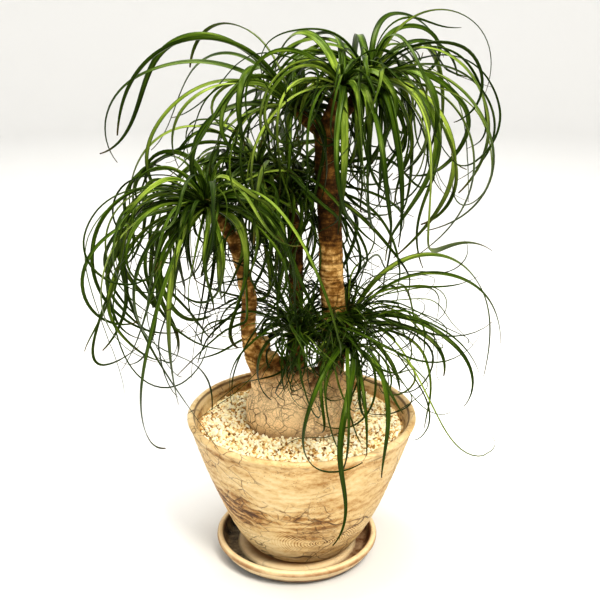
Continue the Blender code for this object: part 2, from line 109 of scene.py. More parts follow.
CROWNS = {
    "left": Crown((-0.0935, -0.030, 0.403), [
        Leaf(155, 50, 200, 0.42, 0.5, -35, -15),
        Leaf(195, 45, 190, 0.27, 0.7, 0, -5),
        Leaf(225, 15, 140, 0.27, 0.9, -10, -30),
        Leaf(235, -5, 70, 0.19, 0.5, -25, 25),
        Leaf(255, -15, 180, 0.33, 0.8, 25, 110),
        Leaf(290, -10, 130, 0.13, 0.9, -25, 5),
        Leaf(140, 70, 140, 0.14, 1.0, 5, 10),
        Leaf(160, 15, 180, 0.25, 1.0, -15, 15),
        Leaf(250, 5, 105, 0.24, 0.6, 10, -15),
        Leaf(315, 5, 140, 0.14, 1.0, -40, 5),
    ], (85,), 0.22),
    "upper_left": Crown((-0.006, 0.004, 0.494), [
        Leaf(160, 70, 115, 0.19, 1.2, -15, -35),
        Leaf(170, 55, 180, 0.30, 1.1, 0, 110),
        Leaf(190, 60, 125, 0.26, 0.9, -20, -20),
        Leaf(185, 40, 90, 0.27, 0.8, 5, -80),
        Leaf(150, 45, 150, 0.26, 1.0, 5, 65),
        Leaf(210, 35, 100, 0.19, 1.0, -10, -50),
        Leaf(225, 15, 65, 0.14, 0.9, -10, -40),
        Leaf(235, 45, 175, 0.19, 1.4, 30, -15),
    ], (120, 90), 0.25),
    "upper_front": Crown((0.0388, -0.018, 0.520), [
        Leaf(270, 5, 150, 0.20, 0.7, 5, 30),
        Leaf(215, 55, 170, 0.20, 0.7, -30, -40),
        Leaf(85, 55, 80, 0.19, 0.7, 80, -30),
        Leaf(300, 15, 150, 0.13, 1.0, -55, 0),
    ], (125,), 0.24),
    "upper_right": Crown((0.068, 0.018, 0.521), [
        Leaf(80, 80, 110, 0.19, 0.7, -80, -45),
        Leaf(30, 70, 155, 0.22, 1.0, 0, -25),
        Leaf(320, 65, 160, 0.25, 0.6, 15, -40),
        Leaf(300, 20, 135, 0.30, 1.0, 65, -55),
        Leaf(330, 10, 135, 0.27, 0.8, 10, -15),
        Leaf(295, 5, 230, 0.44, 1.0, -80, 80),
        Leaf(280, 10, 95, 0.23, 0.7, 15, -25),
        Leaf(350, 0, 90, 0.21, 0.6, 15, -75),
        Leaf(315, 20, 165, 0.17, 0.5, -45, 75),
        Leaf(345, 25, 130, 0.23, 0.9, 20, -55),
    ], (50, 95), 0.26),
    "back": Crown((-0.046, 0.048, 0.428), [], (80, 130, 200), 0.22),
    "middle": Crown((-0.012, 0.028, 0.402), [], (60, 250), 0.19),
    "low_right": Crown((0.0494, 0.002, 0.268), [
        Leaf(20, 65, 155, 0.32, 0.8, 0, -10),
        Leaf(5, 55, 110, 0.25, 0.8, 25, -30),
        Leaf(340, 30, 85, 0.20, 0.7, 0, -70),
        Leaf(330, 15, 65, 0.14, 1.2, 15, -50),
        Leaf(310, -10, 60, 0.10, 1.3, 20, -10),
    ], (), 0.2),
    "low_front": Crown((0.049, -0.026, 0.254), [
        Leaf(275, 10, 165, 0.27, 1.1, -80, 110),
        Leaf(262, 25, 145, 0.27, 1.0, -70, -90),
        Leaf(285, 25, 150, 0.20, 0.8, 5, 25),
        Leaf(295, 15, 70, 0.11, 0.7, 10, 20),
    ], (), 0.2),
    "low_middle": Crown((-0.002, -0.018, 0.258), [], (225, 120), 0.13),
}

STEMS = {
    "left": [(-0.032, -0.002, 0.176, 0.0150), (-0.042, -0.008, 0.212, 0.0110),
             (-0.052, -0.013, 0.243, 0.0092), (-0.056, -0.016, 0.273, 0.0084),
             (-0.054, -0.019, 0.302, 0.0082), (-0.059, -0.020, 0.328, 0.0078),
             (-0.064, -0.020, 0.356, 0.0076), (-0.0655, -0.020, 0.374, 0.0074)],
    "left_fork": [(-0.0640, -0.020, 0.352, 0.0062), (-0.0740, -0.024, 0.376, 0.0060),
                  (-0.0860, -0.028, 0.394, 0.0060), (-0.0935, -0.030, 0.403, 0.0058)],
    "pruned_stub": [(-0.036, -0.004, 0.196, 0.0105), (-0.0385, -0.014, 0.232, 0.0072),
                    (-0.0395, -0.018, 0.2600, 0.0064)],
    "middle": [(-0.004, 0.014, 0.176, 0.0140), (-0.005, 0.019, 0.212, 0.0100),
               (-0.0055, 0.022, 0.250, 0.0085), (-0.006, 0.026, 0.300, 0.0080),
               (-0.0062, 0.030, 0.348, 0.0078), (-0.010, 0.029, 0.385, 0.0068),
               (-0.012, 0.028, 0.402, 0.0058)],
    "middle_fork": [(-0.0075, 0.030, 0.362, 0.0058), (-0.0220, 0.037, 0.392, 0.0054),
                    (-0.0400, 0.046, 0.418, 0.0056), (-0.046, 0.048, 0.428, 0.0058)],
    "right": [(0.027, 0.003, 0.170, 0.0210), (0.030, 0.002, 0.205, 0.0160),
              (0.034, 0.000, 0.240, 0.0136), (0.0345, 0.000, 0.275, 0.0130),
              (0.031, 0.000, 0.323, 0.0128), (0.030, 0.000, 0.362, 0.0124),
              (0.027, 0.000, 0.407, 0.0120), (0.0245, 0.000, 0.454, 0.0116),
              (0.0235, 0.000, 0.484, 0.0100)],
    "right_fork_left": [(0.0240, 0.000, 0.468, 0.0070), (0.0060, 0.003, 0.483, 0.0062),
                        (-0.006, 0.004, 0.494, 0.0058)],
    "right_fork_front": [(0.0240, 0.000, 0.476, 0.0080), (0.0320, -0.009, 0.500, 0.0066),
                         (0.0388, -0.018, 0.520, 0.0060)],
    "right_fork_right": [(0.0240, 0.000, 0.472, 0.0080), (0.0480, 0.010, 0.498, 0.0068),
                         (0.068, 0.018, 0.521, 0.0060)],
    "low_shoot_right": [(0.0345, 0.000, 0.256, 0.0060), (0.0420, 0.001, 0.264, 0.0052),
                        (0.0494, 0.002, 0.268, 0.0050)],
    "low_shoot_front": [(0.0330, -0.004, 0.232, 0.0070), (0.0420, -0.016, 0.246, 0.0056),
                        (0.049, -0.026, 0.254, 0.0050)],
    "low_shoot_middle": [(-0.0020, 0.002, 0.196, 0.0090), (-0.002, -0.010, 0.232, 0.0060),
                         (-0.002, -0.018, 0.258, 0.0050)],
}
# Egg shapes of the swollen foot: centre and half axes.
BULGES = [
    ((-0.018, 0.004, 0.168), (0.043, 0.044, 0.047)),
    ((0.025, 0.006, 0.163), (0.033, 0.040, 0.048)),
    ((0.002, 0.008, 0.146), (0.056, 0.048, 0.040)),
    ((-0.034, -0.004, 0.203), (0.021, 0.019, 0.019)),
]

# ---------------------------------------------------------------- what only the visual model has
# Knots of old cuts on the foot: centre and radius.
KNOTS = [
    ((-0.044, -0.020, 0.236), 0.0095), ((-0.031, -0.022, 0.239), 0.0085), ((-0.021, -0.018, 0.231), 0.0090),
    ((-0.035, -0.026, 0.224), 0.0085), ((-0.012, -0.020, 0.216), 0.0080), ((0.004, -0.014, 0.214), 0.0085),
    ((0.018, -0.018, 0.222), 0.0065),
]
# Further blades: their crown, how many, the side they grow towards, their lengths, greatest width, how
# much they curl, how far they droop, their rise when youngest and oldest, and how low they may hang.
Filling = namedtuple("Filling", "crown count facing shortest longest width curl droop young old lowest")
FILLINGS = {
    "left": Filling("left", 62, 205, 0.15, 0.29, 0.0071, 42, 1.0, 78, -10, 0.150),
    "left_long": Filling("left", 40, 215, 0.27, 0.40, 0.0052, 66, 1.1, 60, 0, 0.120),
    "upper_left": Filling("upper_left", 40, 185, 0.14, 0.27, 0.0062, 38, 1.0, 78, -10, 0.200),
    "upper_front": Filling("upper_front", 50, 250, 0.12, 0.25, 0.0068, 32, 1.0, 70, -10, 0.200),
    "upper_right": Filling("upper_right", 72, 345, 0.16, 0.30, 0.0066, 36, 1.0, 78, -10, 0.200),
    "back": Filling("back", 60, 130, 0.12, 0.28, 0.0056, 45, 1.0, 78, -10, 0.190),
    "middle": Filling("middle", 104, 270, 0.11, 0.25, 0.0048, 58, 0.9, 75, -15, 0.200),
    "low_right": Filling("low_right", 46, 340, 0.10, 0.25, 0.0038, 55, 0.75, 78, -10, 0.130),
    "low_right_tangle": Filling("low_right", 60, 90, 0.12, 0.22, 0.0029, 75, 0.6, 88, 30, 0.200),
    "low_front": Filling("low_front", 30, 290, 0.10, 0.23, 0.0042, 50, 0.9, 78, -10, 0.172),
    "low_middle": Filling("low_middle", 78, 250, 0.10, 0.21, 0.0040, 60, 0.62, 78, 0, 0.226),
    "low_middle_tangle": Filling("low_middle", 84, 175, 0.12, 0.24, 0.0029, 80, 0.55, 88, 35, 0.220),
}
# Blades that stand out, besides the CAD's own.
STANDING_OUT = {
    "left": [Leaf(250, -5, 65, 0.30, 0.5, -5, -90), Leaf(100, 40, 70, 0.18, 1.0, -60, -45)],
    "upper_left": [Leaf(145, 10, 95, 0.12, 1.1, -10, 0)],
    "upper_right": [Leaf(30, 60, 95, 0.14, 0.8, -10, -45)],
    "low_right": [Leaf(350, 35, 75, 0.17, 0.6, 5, -30)],
    "low_front": [Leaf(280, 5, 90, 0.14, 0.8, 5, -5), Leaf(265, 20, 175, 0.24, 1.3, 15, 30)],
}
# Bare wood that few blades hang in front of: span of x, greatest y, span of z, share of blades kept away.
BARE = [
    ((-0.060, 0.012), -0.010, (0.100, 0.212), 1.0),
    ((-0.078, -0.030), -0.015, (0.212, 0.345), 0.8),
    ((0.010, 0.046), -0.008, (0.300, 0.470), 0.7),
]
# Thin blade ends that lie over the foot and on the gravel: points of their lines, and a width.
LOOSE_BLADES = [
    ([(-0.004, -0.034, 0.246), (-0.023, -0.043, 0.231), (-0.041, -0.043, 0.2245), (-0.063, -0.036, 0.2165),
      (-0.077, -0.030, 0.2035), (-0.090, -0.024, 0.190)], 0.0036),
    ([(0.052, -0.050, 0.205), (0.043, -0.048, 0.170), (0.027, -0.046, 0.1592), (0.009, -0.047, 0.1590),
      (-0.006, -0.051, 0.1588), (-0.018, -0.066, 0.1586), (-0.027, -0.084, 0.1590)], 0.0024),
]
GOLDEN_ANGLE = 137.5
FILLING_TRIES = 30
BLADE_STEP = 0.006  # length of one section of a detailed blade
BLADE_SHEET = 0.0006  # its thickness
# A blade's section: share of its half width, and whether the point is on the underside.
BLADE_SECTION = ((-1.0, 0), (-0.5, 0), (0.0, 0), (0.5, 0), (1.0, 0), (0.5, 1), (0.0, 1), (-0.5, 1))
WOOD_VOXEL = 0.0014
# How light each stem's bark is.
STEM_SHADES = {"right": 0.18, "middle": 0.20, "middle_fork": 0.18, "left": 0.50, "left_fork": 0.46,
               "pruned_stub": 0.55}
# Nets of cracks in the foot's skin: scale, thickness, strength, and scale of the patches they show in.
SKIN_CRACKS = ((70.0, 0.050, 0.90, 24.0), (150.0, 0.085, 0.60, 30.0), (300.0, 0.110, 0.36, 45.0))
GRAIN_RADII_MM = (1.5, 1.8, 2.1, 2.4, 2.8, 3.2)
GRAIN_SPACING = 0.0048
ROW_SPACING = 0.866  # share of the spacing between rows of grains
BED_RINGS = 30
BED_SIDES = 120
FOOT_DIRECTIONS = 90  # directions in which the foot's reach is measured
RING_EYE = (0.022, -0.080, 0.052)  # middle of the oval rings on the pot's wall

# ---------------------------------------------------------------- camera, lights and stage
CAMERA_SPOT = (-0.0016, -0.9565, 0.617)
CAMERA_TILT = 18.56  # degrees below level
CAMERA_LENS = 57.4
CAMERA_SENSOR = 36.0
STAGE_FLAT = 3.2  # radius of the flat floor
STAGE_BEND = 1.4
STAGE_TOP = 3.4
STAGE_SIDES = 96
# Name, place, size, power and colour of the lights that point at the plant.
LIGHTS = (
    ("key", (0.7, -1.3, 1.9), 0.6, 56.0, (1.0, 0.96, 0.88)),
    ("top", (-0.2, 0.1, 2.0), 0.9, 40.0, (1.0, 0.99, 0.96)),
    ("fill", (-1.5, -1.0, 0.9), 1.4, 6.0, (1.0, 0.99, 0.96)),
)
LIT_SPOT = (0.0, 0.0, 0.3)
WALL_LIGHT = 68.0
WORLD_LIGHT = 0.10


# ---------------------------------------------------------------- growth rules, as in the CAD
def smooth_line(points, between):
    """Catmull-Rom points through the given ones; every number of a point is carried along."""
    line = []
    for i in range(len(points) - 1):
        before = points[max(i - 1, 0)]
        after = points[min(i + 2, len(points) - 1)]
        for k in range(between + 1):
            t = k / (between + 1)
            line.append(tuple(
                0.5 * (2 * b + (c - a) * t + (2 * a - 5 * b + 4 * c - d) * t ** 2
                       + (3 * b - a - 3 * c + d) * t ** 3)
                for a, b, c, d in zip(before, points[i], points[i + 1], after)))
    line.append(tuple(points[-1]))
    return line


def leaf_line(hub, leaf, segments, begin=LEAF_START):
    """Centreline of a blade from near its crown to its tip."""
    points = []
    spot = Vector(hub)
    steps = segments * 4
    step = leaf.length / steps
    for i in range(steps):
        t = (i + 0.5) / steps
        tip = max(0.0, (t - 0.6) / 0.4) ** 1.5
        drooped = leaf.droop * (1 - math.cos(math.pi * t ** leaf.bend)) / 2
        pitch = math.radians(leaf.rise - drooped + leaf.flick * tip)
        heading = math.radians(leaf.azimuth + leaf.sway * t ** 1.5)
        points.append(spot.copy())
        spot += step * Vector((math.cos(pitch) * math.cos(heading), math.cos(pitch) * math.sin(heading),
                               math.sin(pitch)))
    points.append(spot)
    start = next(i for i, point in enumerate(points) if (point - points[0]).length >= begin)
    kept = points[start:]
    return [kept[round(k * (len(kept) - 1) / segments)] for k in range(segments + 1)]


def width_share(t):
    """Width along a CAD blade."""
    return LEAF_TIP + (1 - LEAF_TIP) * (1 - t ** 3) * min(1.0, 0.8 + 2 * t)


def sleeve_tree(corners, sides):
    """A search tree over the sides of a sleeve, given its rings of corners one after another."""
    faces = []
    for start in range(0, len(corners) - sides, sides):
        for k in range(sides):
            after = (k + 1) % sides
            faces.append((start + k, start + after, start + sides + after, start + sides + k))
    return BVHTree.FromPolygons(corners, faces)


def blade_room(line, room, skip):
    """The blade's own shape with some room round it, without its first few sections."""
    corners = []
    side = None
    for i in range(skip, len(line)):
        ahead = (line[min(i + 1, len(line) - 1)] - line[max(i - 1, 0)]).normalized()
        if side is None:
            side = ahead.cross(Vector((0, 0, 1))).normalized()
        side = (side - ahead * side.dot(ahead)).normalized()
        up = side.cross(ahead)
        share = width_share(i / (len(line) - 1)) / 2
        wide = side * (LEAF_WIDTH * share + room)
        thick = up * (LEAF_THICKNESS * share + room)
        corners += [line[i] + wide, line[i] + thick, line[i] - wide, line[i] - thick]
    return sleeve_tree(corners, 4)


def stem_room(points):
    """A tube round a stem, a little wider than the stem."""
    corners = []
    for x, y, z, radius in smooth_line(points, STEM_POINTS_BETWEEN):
        reach = radius * 1.15 + 0.0008
        for k in range(TUBE_SIDES):
            angle = 2 * math.pi * k / TUBE_SIDES
            corners.append(Vector((x + math.cos(angle) * reach, y + math.sin(angle) * reach, z)))
    return sleeve_tree(corners, TUBE_SIDES)


def pot_outer_radius(height):
    """The pot flares from its foot, quickly at first and then more steeply up to the rim."""
    share = max(0.0, (height - POT_FOOT_Z) / (POT_RIM_Z - POT_FOOT_Z))
    return POT_FOOT_RADIUS + (POT_RIM_RADIUS - POT_FOOT_RADIUS) * share ** POT_FLARE


def pot_inner_radius(height):
    """The wall grows thicker towards the floor."""
    share = (POT_RIM_Z - height) / (POT_RIM_Z - POT_FLOOR_Z)
    return pot_outer_radius(height) - POT_WALL - POT_FLOOR_FILLET * share ** 4


def hits_pot_or_foot(line, margin=0.006):
    """Whether a blade would touch the pot, the gravel, the swollen foot or what the saucer stands on."""
    for point in line:
        from_axis = math.hypot(point.x, point.y)
        if point.z > POT_RIM_Z + margin:
            continue
        inside = from_axis < POT_RIM_RADIUS - POT_WALL - margin and point.z > GRAVEL_TOP + margin
        outside = from_axis > pot_outer_radius(point.z) + margin and point.z > margin
        if not (inside or outside):
            return True
    for centre, half_axes in BULGES:
        for point in line:
            scaled = [(at - mid) / (axis + margin) for at, mid, axis in zip(point, centre, half_axes)]
            if Vector(scaled).length < 1:
                return True
    return False


def settled_leaves(wood):
    """The CAD's blades as (node, crown, leaf), each turned until it is clear of the others."""
    grown = []
    taken = []
    for number, (name, crown) in enumerate(CROWNS.items()):
        wild = random.Random(number)
        leaves = list(crown.leaves)
        for azimuth in crown.extra_azimuths:
            leaves.append(Leaf(azimuth, wild.uniform(35, 60), wild.uniform(125, 165), crown.extra_length,
                               wild.uniform(0.8, 1.1), wild.uniform(-20, 20), wild.uniform(-20, 20)))
        for index, leaf in enumerate(leaves):
            for attempt in range(SETTLING_TRIES):
                nudge = (attempt + 1) // 2 * (3 if attempt % 2 else -3)
                lift = attempt % 5 * 2
                tried = leaf._replace(azimuth=leaf.azimuth + nudge, rise=leaf.rise + lift)
                line = leaf_line(crown.hub, tried, LEAF_SEGMENTS)
                slim = blade_room(line, SLIM_ROOM, 0)
                roomy = blade_room(line, LEAF_ROOM, 2)
                if hits_pot_or_foot(line[1:]):
                    continue
                if any(slim.overlap(a) or roomy.overlap(b) for a, b in taken):
                    continue
                if not any(slim.overlap(stem) or roomy.overlap(stem) for stem in wood):
                    break
            taken.append((slim, roomy))
            grown.append((f"leaf_{name}_{index + 1:02d}", name, tried))
    return grown


# ---------------------------------------------------------------- node graph helpers
class Graph:
    """Short calls for a material's nodes."""

    def __init__(self, name):
        self.material = bpy.data.materials.new(name)
        self.material.use_nodes = True
        self.tree = self.material.node_tree
        self.shader = self.tree.nodes["Principled BSDF"]
        self.place = self.tree.nodes.new("ShaderNodeTexCoord").outputs["Object"]

    def set(self, **sockets):
        """Constant values straight on the shader."""
        for name, value in sockets.items():
            self.shader.inputs[name.replace("_", " ")].default_value = value

    def fill(self, socket, value):
        """Links an output to a socket, or sets the socket to a constant."""
        if isinstance(value, bpy.types.NodeSocket):
            self.tree.links.new(value, socket)
        else:
            socket.default_value = value

    def node(self, kind, inputs=(), **settings):
        """A node with its settings, and with its inputs either linked or set."""
        made = self.tree.nodes.new("ShaderNode" + kind)
        for name, value in settings.items():
            setattr(made, name, value)
        for name, value in dict(inputs).items():
            self.fill(made.inputs[name], value)
        return made

    def attribute(self, name):
        """A number stored on the mesh's points."""
        return self.node("Attribute", attribute_name=name).outputs["Fac"]

    def math(self, operation, a, b=0.0):
        return self.node("Math", {0: a, 1: b}, operation=operation).outputs[0]

    def times(self, a, b):
        return self.math("MULTIPLY", a, b)

    def plus(self, a, b):
        return self.math("ADD", a, b)

    def minus(self, a, b):
        return self.math("SUBTRACT", a, b)

    def most(self, first, *others):
        for other in others:
            first = self.math("MAXIMUM", first, other)
        return first

    def swing(self, value, reach):
        """A noise value as a swing up and down from nothing."""
        return self.times(self.minus(value, 0.5), reach)

    def vector(self, operation, a, b):
        return self.node("VectorMath", {0: a, 1: b}, operation=operation).outputs[0]

    def length(self, vector):
        return self.node("VectorMath", {0: vector}, operation="LENGTH").outputs["Value"]

    def noise(self, scale, detail=4.0, roughness=0.55, vector=None):
        return self.node("TexNoise", {"Vector": vector or self.place, "Scale": scale, "Detail": detail,
                                      "Roughness": roughness}).outputs["Fac"]

    def shaken(self, scale, detail, reach):
        """The place, shifted about by a coloured noise."""
        cloud = self.node("TexNoise", {"Vector": self.place, "Scale": scale, "Detail": detail})
        shift = self.node("VectorMath", {0: cloud.outputs["Color"], "Scale": reach}, operation="SCALE")
        return self.vector("ADD", self.place, shift.outputs[0])

    def cells(self, feature, scale, vector):
        cells = self.node("TexVoronoi", {"Vector": vector, "Scale": scale}, feature=feature)
        return cells.outputs["Distance"]

    def cell_edges(self, scale, vector):
        """Distance to the nearest border between cells."""
        return self.cells("DISTANCE_TO_EDGE", scale, vector)

    def dots(self, scale):
        """Distance to the nearest of many scattered points."""
        return self.cells("F1", scale, self.place)

    def joined(self, x, y, z):
        return self.node("CombineXYZ", {"X": x, "Y": y, "Z": z}).outputs[0]

    def stretch(self, scale, vector=None):
        """The place, scaled differently along each axis."""
        return self.node("Mapping", {"Vector": vector or self.place, "Scale": scale}).outputs["Vector"]

    def steps(self, factor, *stops):
        """A colour ramp from (position, colour) stops."""
        made = self.node("ValToRGB", {"Fac": factor})
        ramp = made.color_ramp.elements
        while len(ramp) < len(stops):
            ramp.new(0.5)
        for element, (position, colour) in zip(ramp, stops):
            element.position = position
            element.color = (*colour, 1.0)
        return made.outputs["Color"]

    def from_axis(self, centre):
        """Distance from an upright axis."""
        off = self.vector("SUBTRACT", self.place, (*centre, 0.0))
        return self.length(self.vector("MULTIPLY", off, (1.0, 1.0, 0.0)))

    def along_axis(self, axis):
        return self.node("SeparateXYZ", {0: self.place}).outputs[axis]

    def level(self, factor, low, high, out_low=0.0, out_high=1.0):
        """Maps a number from one span to another, held at the ends."""
        return self.node("MapRange", {"Value": factor, "From Min": low, "From Max": high,
                                      "To Min": out_low, "To Max": out_high}).outputs["Result"]

    def near(self, value, target, sharp, soft):
        """One where the value is close to a target, fading to nothing."""
        return self.level(self.math("ABSOLUTE", self.minus(value, target)), sharp, soft, 1.0, 0.0)

    def mix(self, factor, a, b):
        """Colour a, turning into colour b as the factor rises to one."""
        made = self.node("Mix", data_type="RGBA")
        for name, kind, value in (("Factor", "VALUE", factor), ("A", "RGBA", a), ("B", "RGBA", b)):
            socket = next(s for s in made.inputs if s.name == name and s.type == kind)
            self.fill(socket, (*value, 1.0) if isinstance(value, tuple) else value)
        return next(s for s in made.outputs if s.type == "RGBA")

    def colour(self, value):
        self.tree.links.new(value, self.shader.inputs["Base Color"])

    def roughness(self, value):
        self.tree.links.new(value, self.shader.inputs["Roughness"])

    def bump(self, height, strength, distance):
        made = self.node("Bump", {"Height": height, "Strength": strength, "Distance": distance})
        self.tree.links.new(made.outputs["Normal"], self.shader.inputs["Normal"])


# ---------------------------------------------------------------- materials
def leaf_material():
    """A waxy green blade: lengthwise fibres, lighter and darker stretches, a painted highlight along the
    keel, painted shade at the edges and on the outer half, a dry tip.
    """
    g = Graph("leaf_green")
    across, along, tone = (g.attribute(name) for name in ("across", "along", "tone"))
    spread = g.joined(g.times(across, 14.0), g.times(along, 1.6), g.times(tone, 40.0))
    fibres = g.noise(1.0, 3.0, 0.6, spread)
    patches = g.noise(1.0, 2.0, 0.5, g.joined(across, g.times(along, 7.0), g.times(tone, 23.0)))
    light = g.plus(g.plus(g.times(tone, 0.48), g.times(patches, 0.60)), g.swing(fibres, 0.60))
    green = g.steps(light, (0.22, (0.001, 0.004, 0.001)), (0.42, (0.009, 0.022, 0.001)),
                    (0.62, (0.048, 0.088, 0.005)), (0.88, (0.290, 0.370, 0.058)))
    from_keel = g.math("ABSOLUTE", across)
    # Painted highlight: a lighter green strip along the keel.
    green = g.mix(g.level(from_keel, 0.0, 0.16, 0.30, 0.0), green, (0.15, 0.22, 0.012))
    base = g.level(along, 0.0, 0.06, 0.35, 0.0)
    green = g.mix(base, green, (0.16, 0.22, 0.04))
    # Painted shade: the blade darkens towards both edges and over its outer half.
    edges = g.level(from_keel, 0.70, 1.0, 0.0, 0.55)
    green = g.mix(edges, green, (0.006, 0.020, 0.002))
    painted_outer_shade = g.level(along, 0.40, 0.80, 0.0, 0.85)
    green = g.mix(painted_outer_shade, green, (0.005, 0.014, 0.001))
    dry = g.level(g.plus(along, g.times(tone, 0.04)), 0.955, 1.02)
    g.colour(g.mix(dry, green, (0.05, 0.030, 0.008)))
    g.roughness(g.level(fibres, 0.3, 0.7, 0.28, 0.42))
    g.bump(fibres, 0.35, 0.0003)
    g.set(Specular_IOR_Level=0.20, Specular_Tint=(0.80, 1.0, 0.30, 1.0))
    return g.material


def bark_material():
    """Brown ringed bark above, pale cracked skin on the swollen foot, and a painted contact shadow where
    the foot meets the gravel.
    """
    g = Graph("bark_and_foot")
    shade, crack, foot = (g.attribute(name) for name in ("shade", "crack", "foot"))
    grain = g.noise(260.0, 5.0, 0.65)
    mottle = g.noise(55.0, 4.0, 0.6)
    value = g.plus(g.plus(shade, g.swing(mottle, 0.50)), g.swing(grain, 0.75))
    colour = g.steps(value, (0.05, (0.008, 0.004, 0.002)), (0.26, (0.060, 0.026, 0.007)),
                     (0.48, (0.230, 0.110, 0.026)), (0.72, (0.610, 0.385, 0.145)),
                     (0.96, (0.960, 0.740, 0.410)))
    colour = g.mix(g.level(g.dots(420.0), 0.16, 0.28, 0.50, 0.0), colour, (0.130, 0.060, 0.016))
    colour = g.mix(g.times(foot, 0.40), colour, (0.900, 0.620, 0.375))
    # Painted contact shadow: dark brown just above the gravel, fading upwards.
    painted_contact_shadow = g.level(g.plus(g.along_axis("Z"), g.times(mottle, 0.008)), GRAVEL_TOP + 0.002,
                     GRAVEL_TOP + 0.014, 0.60, 0.0)
    colour = g.mix(painted_contact_shadow, colour, (0.120, 0.055, 0.020))
    skin = g.shaken(60.0, 2.0, 0.012)
    lines = []
    for scale, thick, strength, patch in SKIN_CRACKS:
        here = g.level(g.noise(patch, 3.0), 0.42, 0.58, 0.10, strength)
        lines.append(g.times(g.level(g.cell_edges(scale, skin), 0.012, thick, 1.0, 0.0), here))
    network = g.times(g.most(*lines), foot)
    cracked = g.most(network, g.level(crack, 0.15, 0.80, 0.0, 0.90))
    g.colour(g.mix(cracked, colour, (0.050, 0.020, 0.006)))
    g.roughness(g.level(grain, 0.3, 0.7, 0.72, 0.92))
    g.set(Specular_IOR_Level=0.12, Specular_Tint=(1.0, 0.75, 0.45, 1.0))
    relief = g.plus(grain, g.times(mottle, 0.6))
    g.bump(g.minus(relief, g.times(network, 1.2)), 0.8, 0.0007)
    return g.material


def stoneware(name, wash):
    """Cream stoneware with a brown wash, faint strokes like wood grain, specks and dark hairlines.

    Gives the graph, how strong the wash is, the dark marks, the strokes and the bent place they follow."""
    g = Graph(name)
    bent = g.shaken(11.0, 3.0, 0.055)
    flat = g.stretch((1.0, 1.0, 2.4), bent)
    strokes = g.node("TexWave", {"Vector": flat, "Scale": 14.0, "Distortion": 7.0, "Detail": 3.0,
                                 "Detail Scale": 1.2, "Detail Roughness": 0.6}, wave_type="BANDS",
                     bands_direction="Z").outputs["Fac"]
    stain = g.noise(8.0, 6.0, 0.66, flat)
    fine = g.noise(150.0, 5.0, 0.72, g.stretch((1.0, 1.0, 1.8)))
    value = g.plus(g.plus(g.plus(stain, g.times(strokes, 0.07)), g.swing(fine, 0.50)), wash)
    cracks = g.times(g.level(g.cell_edges(12.0, bent), 0.003, 0.011, 1.0, 0.0),
                     g.level(g.noise(7.0, 4.0), 0.50, 0.56))
    crackle = g.times(g.level(g.cell_edges(42.0, g.stretch((1.0, 1.0, 1.8), bent)), 0.006, 0.030, 1.0, 0.0),
                      g.level(g.noise(17.0, 5.0), 0.49, 0.57))
    pits = g.times(g.level(g.dots(330.0), 0.12, 0.24, 1.0, 0.0), g.level(g.noise(26.0, 4.0), 0.47, 0.56))
    marks = g.most(g.times(cracks, 0.90), g.times(crackle, 0.75), g.times(pits, 0.75))
    g.set(Specular_IOR_Level=0.3)
    g.roughness(g.level(fine, 0.3, 0.7, 0.45, 0.68))
    g.bump(g.plus(g.minus(g.times(fine, 0.5), marks), g.times(strokes, 0.2)), 0.5, 0.0006)
    return g, value, marks, strokes, bent


def glaze(g, value, marks):
    """Colours the stoneware by how strong its wash is, with the dark marks on top."""
    colour = g.steps(value, (0.36, (0.675, 0.525, 0.295)), (0.54, (0.560, 0.390, 0.180)),
                     (0.70, (0.340, 0.175, 0.048)), (0.88, (0.070, 0.024, 0.007)))
    return g.mix(marks, colour, (0.060, 0.024, 0.006))


def pot_material():
    """Browner under the rim and inside the lip, with painted shade on the left front flank and near the
    foot, and an eye of rings like wood grain.
    """
    g, value, marks, strokes, bent = stoneware("pot_stoneware", -0.03)
    streaks = g.noise(1.0, 6.0, 0.75, g.stretch((30.0, 30.0, 52.0), bent))
    patchy = g.level(g.plus(g.times(streaks, 0.9), g.times(strokes, 0.1)), 0.40, 0.62)
    # The stored numbers hold the brown wash under the rim, and painted shade on the left front flank and
    # near the foot.
    washed_and_shaded = g.times(g.attribute("wash_and_shade"), g.plus(g.times(patchy, 0.85), 0.15))
    away = g.length(g.vector("MULTIPLY", g.vector("SUBTRACT", g.place, RING_EYE), (1.0, 1.0, 1.8)))
    uneven = g.plus(away, g.times(g.noise(30.0, 2.0), 0.008))
    rings = g.level(g.math("SINE", g.times(uneven, 2100.0)), 0.0, 0.9)
    rings = g.times(rings, g.level(away, 0.038, 0.060, 0.40, 0.0))
    rings = g.times(rings, g.level(g.noise(90.0, 3.0), 0.38, 0.56, 0.35, 1.0))
    squiggles = g.cell_edges(62.0, g.stretch((1.0, 1.0, 1.5), bent))
    squiggles = g.times(g.level(squiggles, 0.01, 0.07, 1.0, 0.0), g.level(washed_and_shaded, 0.12, 0.40, 0.0, 0.85))
    value = g.plus(g.plus(value, g.times(washed_and_shaded, 0.34)), rings)
    height = g.along_axis("Z")
    inner_edge = g.near(g.from_axis((0.0, 0.0)), POT_RIM_RADIUS - POT_WALL + 0.0004, 0.0004, 0.0012)
    lip_line = g.times(inner_edge, g.level(height, POT_RIM_Z - 0.008, POT_RIM_Z - 0.005))
    below_lip = g.times(g.near(height, POT_RIM_Z - 0.0095, 0.0004, 0.0016),
                        g.level(g.noise(14.0, 3.0), 0.46, 0.58, 0.1, 0.7))
    g.colour(glaze(g, value, g.most(marks, squiggles, g.times(lip_line, 0.8), below_lip)))
    return g.material


